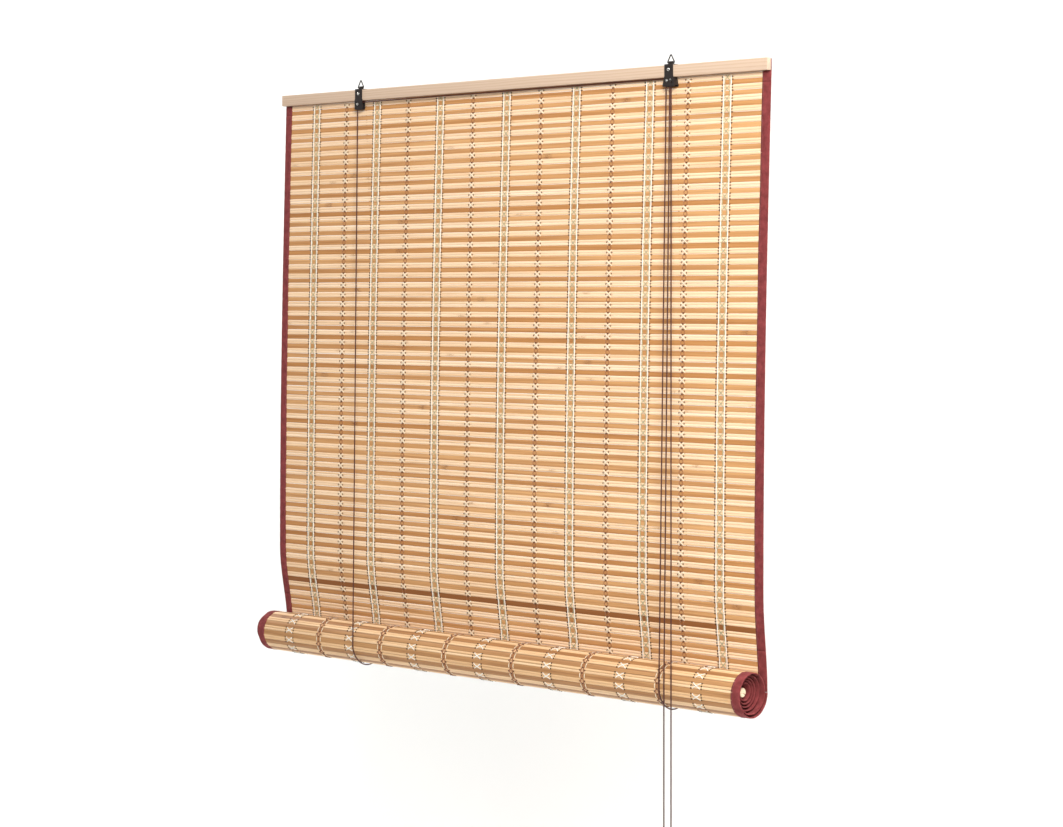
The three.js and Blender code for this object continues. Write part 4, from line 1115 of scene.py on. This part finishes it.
piece, path, long = cord_tube(
    "cross_cord_braid",
    straight((WHEELS["left"][0] + 0.0003, WHEELS["left"][1], WHEELS["left"][2] + ON_WHEEL),
             (WHEELS["right"][0] - 0.0003, CROSS_GROOVE_Y, WHEELS["right"][2] + ON_WHEEL)), ["cross_cord"])
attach(piece, "root")

# ---- Pull knobs and knots ----
# Turned beech, stained dark and satin lacquered, threaded on the tails with a knot in the pocket
# beneath. The same cord is knotted behind each bracket's back leg.

TAIL_X = {"left": 0.381, "right": 0.368}
TAIL_GROOVE_Y = {"left": CROSS_GROOVE_Y, "right": WHEELS["right"][1]}
KNOB_LENGTH = 0.030
KNOB_RADIUS = 0.0075
KNOB_NECK = 0.0036
KNOB_BORE = 0.0013
KNOT_POCKET = 0.0027


# Stained beech: dark red-brown with short pale pores along the turning axis and faint tool rings, under
# a satin lacquer.
def stained_beech(name):
    made, tree, shader = new_material(name, 0.4, Coat_Weight=0.35, Coat_Roughness=0.25)
    place = add_node(tree, "TexCoord").outputs["Object"]
    grain = add_node(tree, "Mapping", {"Vector": place, "Scale": (1400, 1400, 70)}).outputs[0]
    pores = add_node(tree, "TexNoise", {"Vector": grain, "Scale": 1.0, "Detail": 4.0}).outputs[0]
    tool = add_node(tree, "TexWave", {"Vector": place, "Scale": 420.0, "Distortion": 0.4},
                    bands_direction="Z").outputs["Fac"]
    share = add_node(tree, "MapRange", {0: pores, 1: 0.35, 2: 0.7}).outputs[0]
    wood = add_node(tree, "Mix", {0: share, 6: "#3E2114", 7: "#7A4A2E"}, data_type="RGBA").outputs[2]
    share = add_node(tree, "MapRange", {0: tool, 1: 0.7, 2: 1.0, 3: 0.0, 4: 0.2}).outputs[0]
    wood = add_node(tree, "Mix", {0: share, 6: wood, 7: "#2A140C"}, data_type="RGBA").outputs[2]
    tree.links.new(wood, shader.inputs["Base Color"])
    bump = add_node(tree, "Bump", {"Height": pores, "Distance": 0.00006, "Strength": 0.5}).outputs[0]
    tree.links.new(bump, shader.inputs["Normal"])
    return made


STAINED_BEECH = stained_beech("stained_turned_beech")


def knot_rows(x, y, z, size, steps=24, lobes=3):
    """A pulled-tight knot: a ball of that size whose skin swells in slanting lobes of cord.

    radius = size x (0.82 + 0.18 |sin(lobes x (bearing + 2 x height angle))|).
    """
    up = np.linspace(0.02, np.pi - 0.02, 15)[:, None]
    bearing = 2 * np.pi * np.arange(steps) / steps
    swell = size * (0.82 + 0.18 * np.abs(np.sin(lobes / 2 * (bearing + 2 * up))))
    return np.stack([x + swell * np.sin(up) * np.cos(bearing), y + swell * np.sin(up) * np.sin(bearing),
                     z + swell * np.cos(up) * np.ones(steps)], -1)


for hand, tail_x in TAIL_X.items():
    low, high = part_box(f"{hand}_pull_knob")
    rest_y = roll_axis_y(tail_x) - SLING_RADIUS
    share = np.array([0, 0.1, 0.22, 0.5, 0.75, 0.93, 1.0])
    width = np.array([KNOB_NECK, KNOB_NECK + 0.0004, KNOB_NECK, 0.85 * KNOB_RADIUS, KNOB_RADIUS,
                      0.85 * KNOB_RADIUS, 0.55 * KNOB_RADIUS])
    fine = np.linspace(0, 1, 40)
    outside = np.stack([np.interp(fine, share, width), high.z - KNOB_LENGTH * fine], -1)
    outside[1:-1, 0] = (outside[:-2, 0] + 2 * outside[1:-1, 0] + outside[2:, 0]) / 4
    inside = np.array([(KNOT_POCKET, high.z - KNOB_LENGTH), (KNOT_POCKET, high.z - 0.7 * KNOB_LENGTH),
                       (KNOB_BORE, high.z - 0.7 * KNOB_LENGTH), (KNOB_BORE, high.z)])
    profile = np.concatenate([outside, inside])
    bearing = 2 * np.pi * np.arange(49) / 48
    rows = np.stack([tail_x + profile[None, :, 0] * np.cos(bearing)[:, None],
                     rest_y + profile[None, :, 0] * np.sin(bearing)[:, None],
                     np.broadcast_to(profile[None, :, 1], (49, len(profile)))], -1)
    knob = carried(f"{hand}_pull_knob_turned", rows[None], np.linspace(0, 0.047, 49),
                   np.linspace(0, 0.09, len(profile) + 1), [STAINED_BEECH])
    closed_round(knob, 0.7)
    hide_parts(f"{hand}_pull_knob")
    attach(knob, f"{hand}_pull")

    low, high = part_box(f"{hand}_pull_knot")
    centre = ((low.x + high.x) / 2, (low.y + high.y) / 2, (low.z + high.z) / 2)
    rows = knot_rows(*centre, (high.z - low.z) / 2)
    knot = faced_out(carried(f"{hand}_pull_knot_braid", rows[None], np.linspace(0, 0.0066, 15),
                             np.linspace(0, 0.013, 25), [BROWN_BRAID]), 1.4)
    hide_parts(f"{hand}_pull_knot")
    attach(knot, f"{hand}_pull")

    low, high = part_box(f"{hand}_back_knot")
    rows = knot_rows((low.x + high.x) / 2, high.y - 0.0021, (low.z + high.z) / 2, 0.0021)
    back_knot = faced_out(carried(f"{hand}_back_knot_braid", rows[None], np.linspace(0, 0.0066, 15),
                                  np.linspace(0, 0.013, 25), [BROWN_BRAID]), 1.4)
    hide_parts(f"{hand}_back_knot")
    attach(back_knot, "root")

    start_x, start_z = WHEELS["right"][0] + ON_WHEEL, WHEELS["right"][2] - CASE_MOUTH
    lock_end, knee = (start_x, TAIL_GROOVE_Y[hand], start_z), (tail_x, rest_y, -ROLL_DROP + 0.0003)
    tail_split = cord_split(lock_end, knee)
    piece, path, long = cord_tube(f"{hand}_tail_upper_braid", straight(lock_end, tail_split),
                                  [f"{hand}_tail_upper"])
    shorten(piece)
    end_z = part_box(f"{hand}_tail_lower")[0].z
    piece, path, long = cord_tube(f"{hand}_tail_lower_braid",
                                  np.concatenate([[tail_split], straight(knee, (tail_x, rest_y, end_z))]),
                                  [f"{hand}_tail_lower"])
    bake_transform(piece)

# ---- Studio ----
# A pale seamless sweep behind and below the blind, one wide soft light high on the right, two that
# are aimed at the sweep, and an even pale surround.

SWEEP_FLOOR = -1.62
SWEEP_BACK = 1.7
SWEEP_BEND = 0.7

turn = np.linspace(0, np.pi / 2, 12)
line = np.concatenate([[(-0.6, SWEEP_FLOOR)],
                       np.stack([SWEEP_BACK - SWEEP_BEND + SWEEP_BEND * np.sin(turn),
                                 SWEEP_FLOOR + SWEEP_BEND * (1 - np.cos(turn))], -1),
                       [(SWEEP_BACK, 5.0)]])
x = np.array([-9.0, 9.0])
rows = np.stack(np.broadcast_arrays(x[:, None], line[None, :, 0], line[None, :, 1]), -1)[None]
# Matt white paper off a roll: no gloss and no grain that shows from here.
paper, tree, shader = new_material("white_paper_sweep", 0.9)
shader.inputs["Base Color"].default_value = linear("#FAFAF8")
sweep = carried("studio_sweep", rows, np.array([0.0, 18.0]), np.linspace(0, 12, len(line)), [paper],
                closed=False)


def soft_light(name, place, target, size, watts, tint):
    """A square area light at a place, turned so that its -Z points at the target."""
    data = bpy.data.lights.new(name, "AREA")
    data.shape = "RECTANGLE"
    data.size, data.size_y = size
    data.energy = watts
    data.color = linear(tint)[:3]
    made = bpy.data.objects.new(name, data)
    made.location = place
    made.rotation_euler = (Vector(target) - Vector(place)).to_track_quat("-Z", "Y").to_euler()
    bpy.context.scene.collection.objects.link(made)


soft_light("key_light", (2.0, -2.0, 0.95), (0, 0, -0.45), (1.2, 1.2), 127, "#FFFDFA")
soft_light("backdrop_light_left", (-4.4, 0.2, 1.6), (-2.0, 1.7, -0.5), (2.0, 2.0), 84, "#FFFFFF")
soft_light("backdrop_light_right", (1.8, 0.8, 2.2), (-0.6, 1.7, -0.2), (1.6, 1.6), 60, "#FFFFFF")
world = bpy.data.worlds.new("even_surround")
world.use_nodes = True
world.node_tree.nodes["Background"].inputs["Color"].default_value = linear("#FFFFFF")
world.node_tree.nodes["Background"].inputs["Strength"].default_value = 0.38
bpy.context.scene.world = world
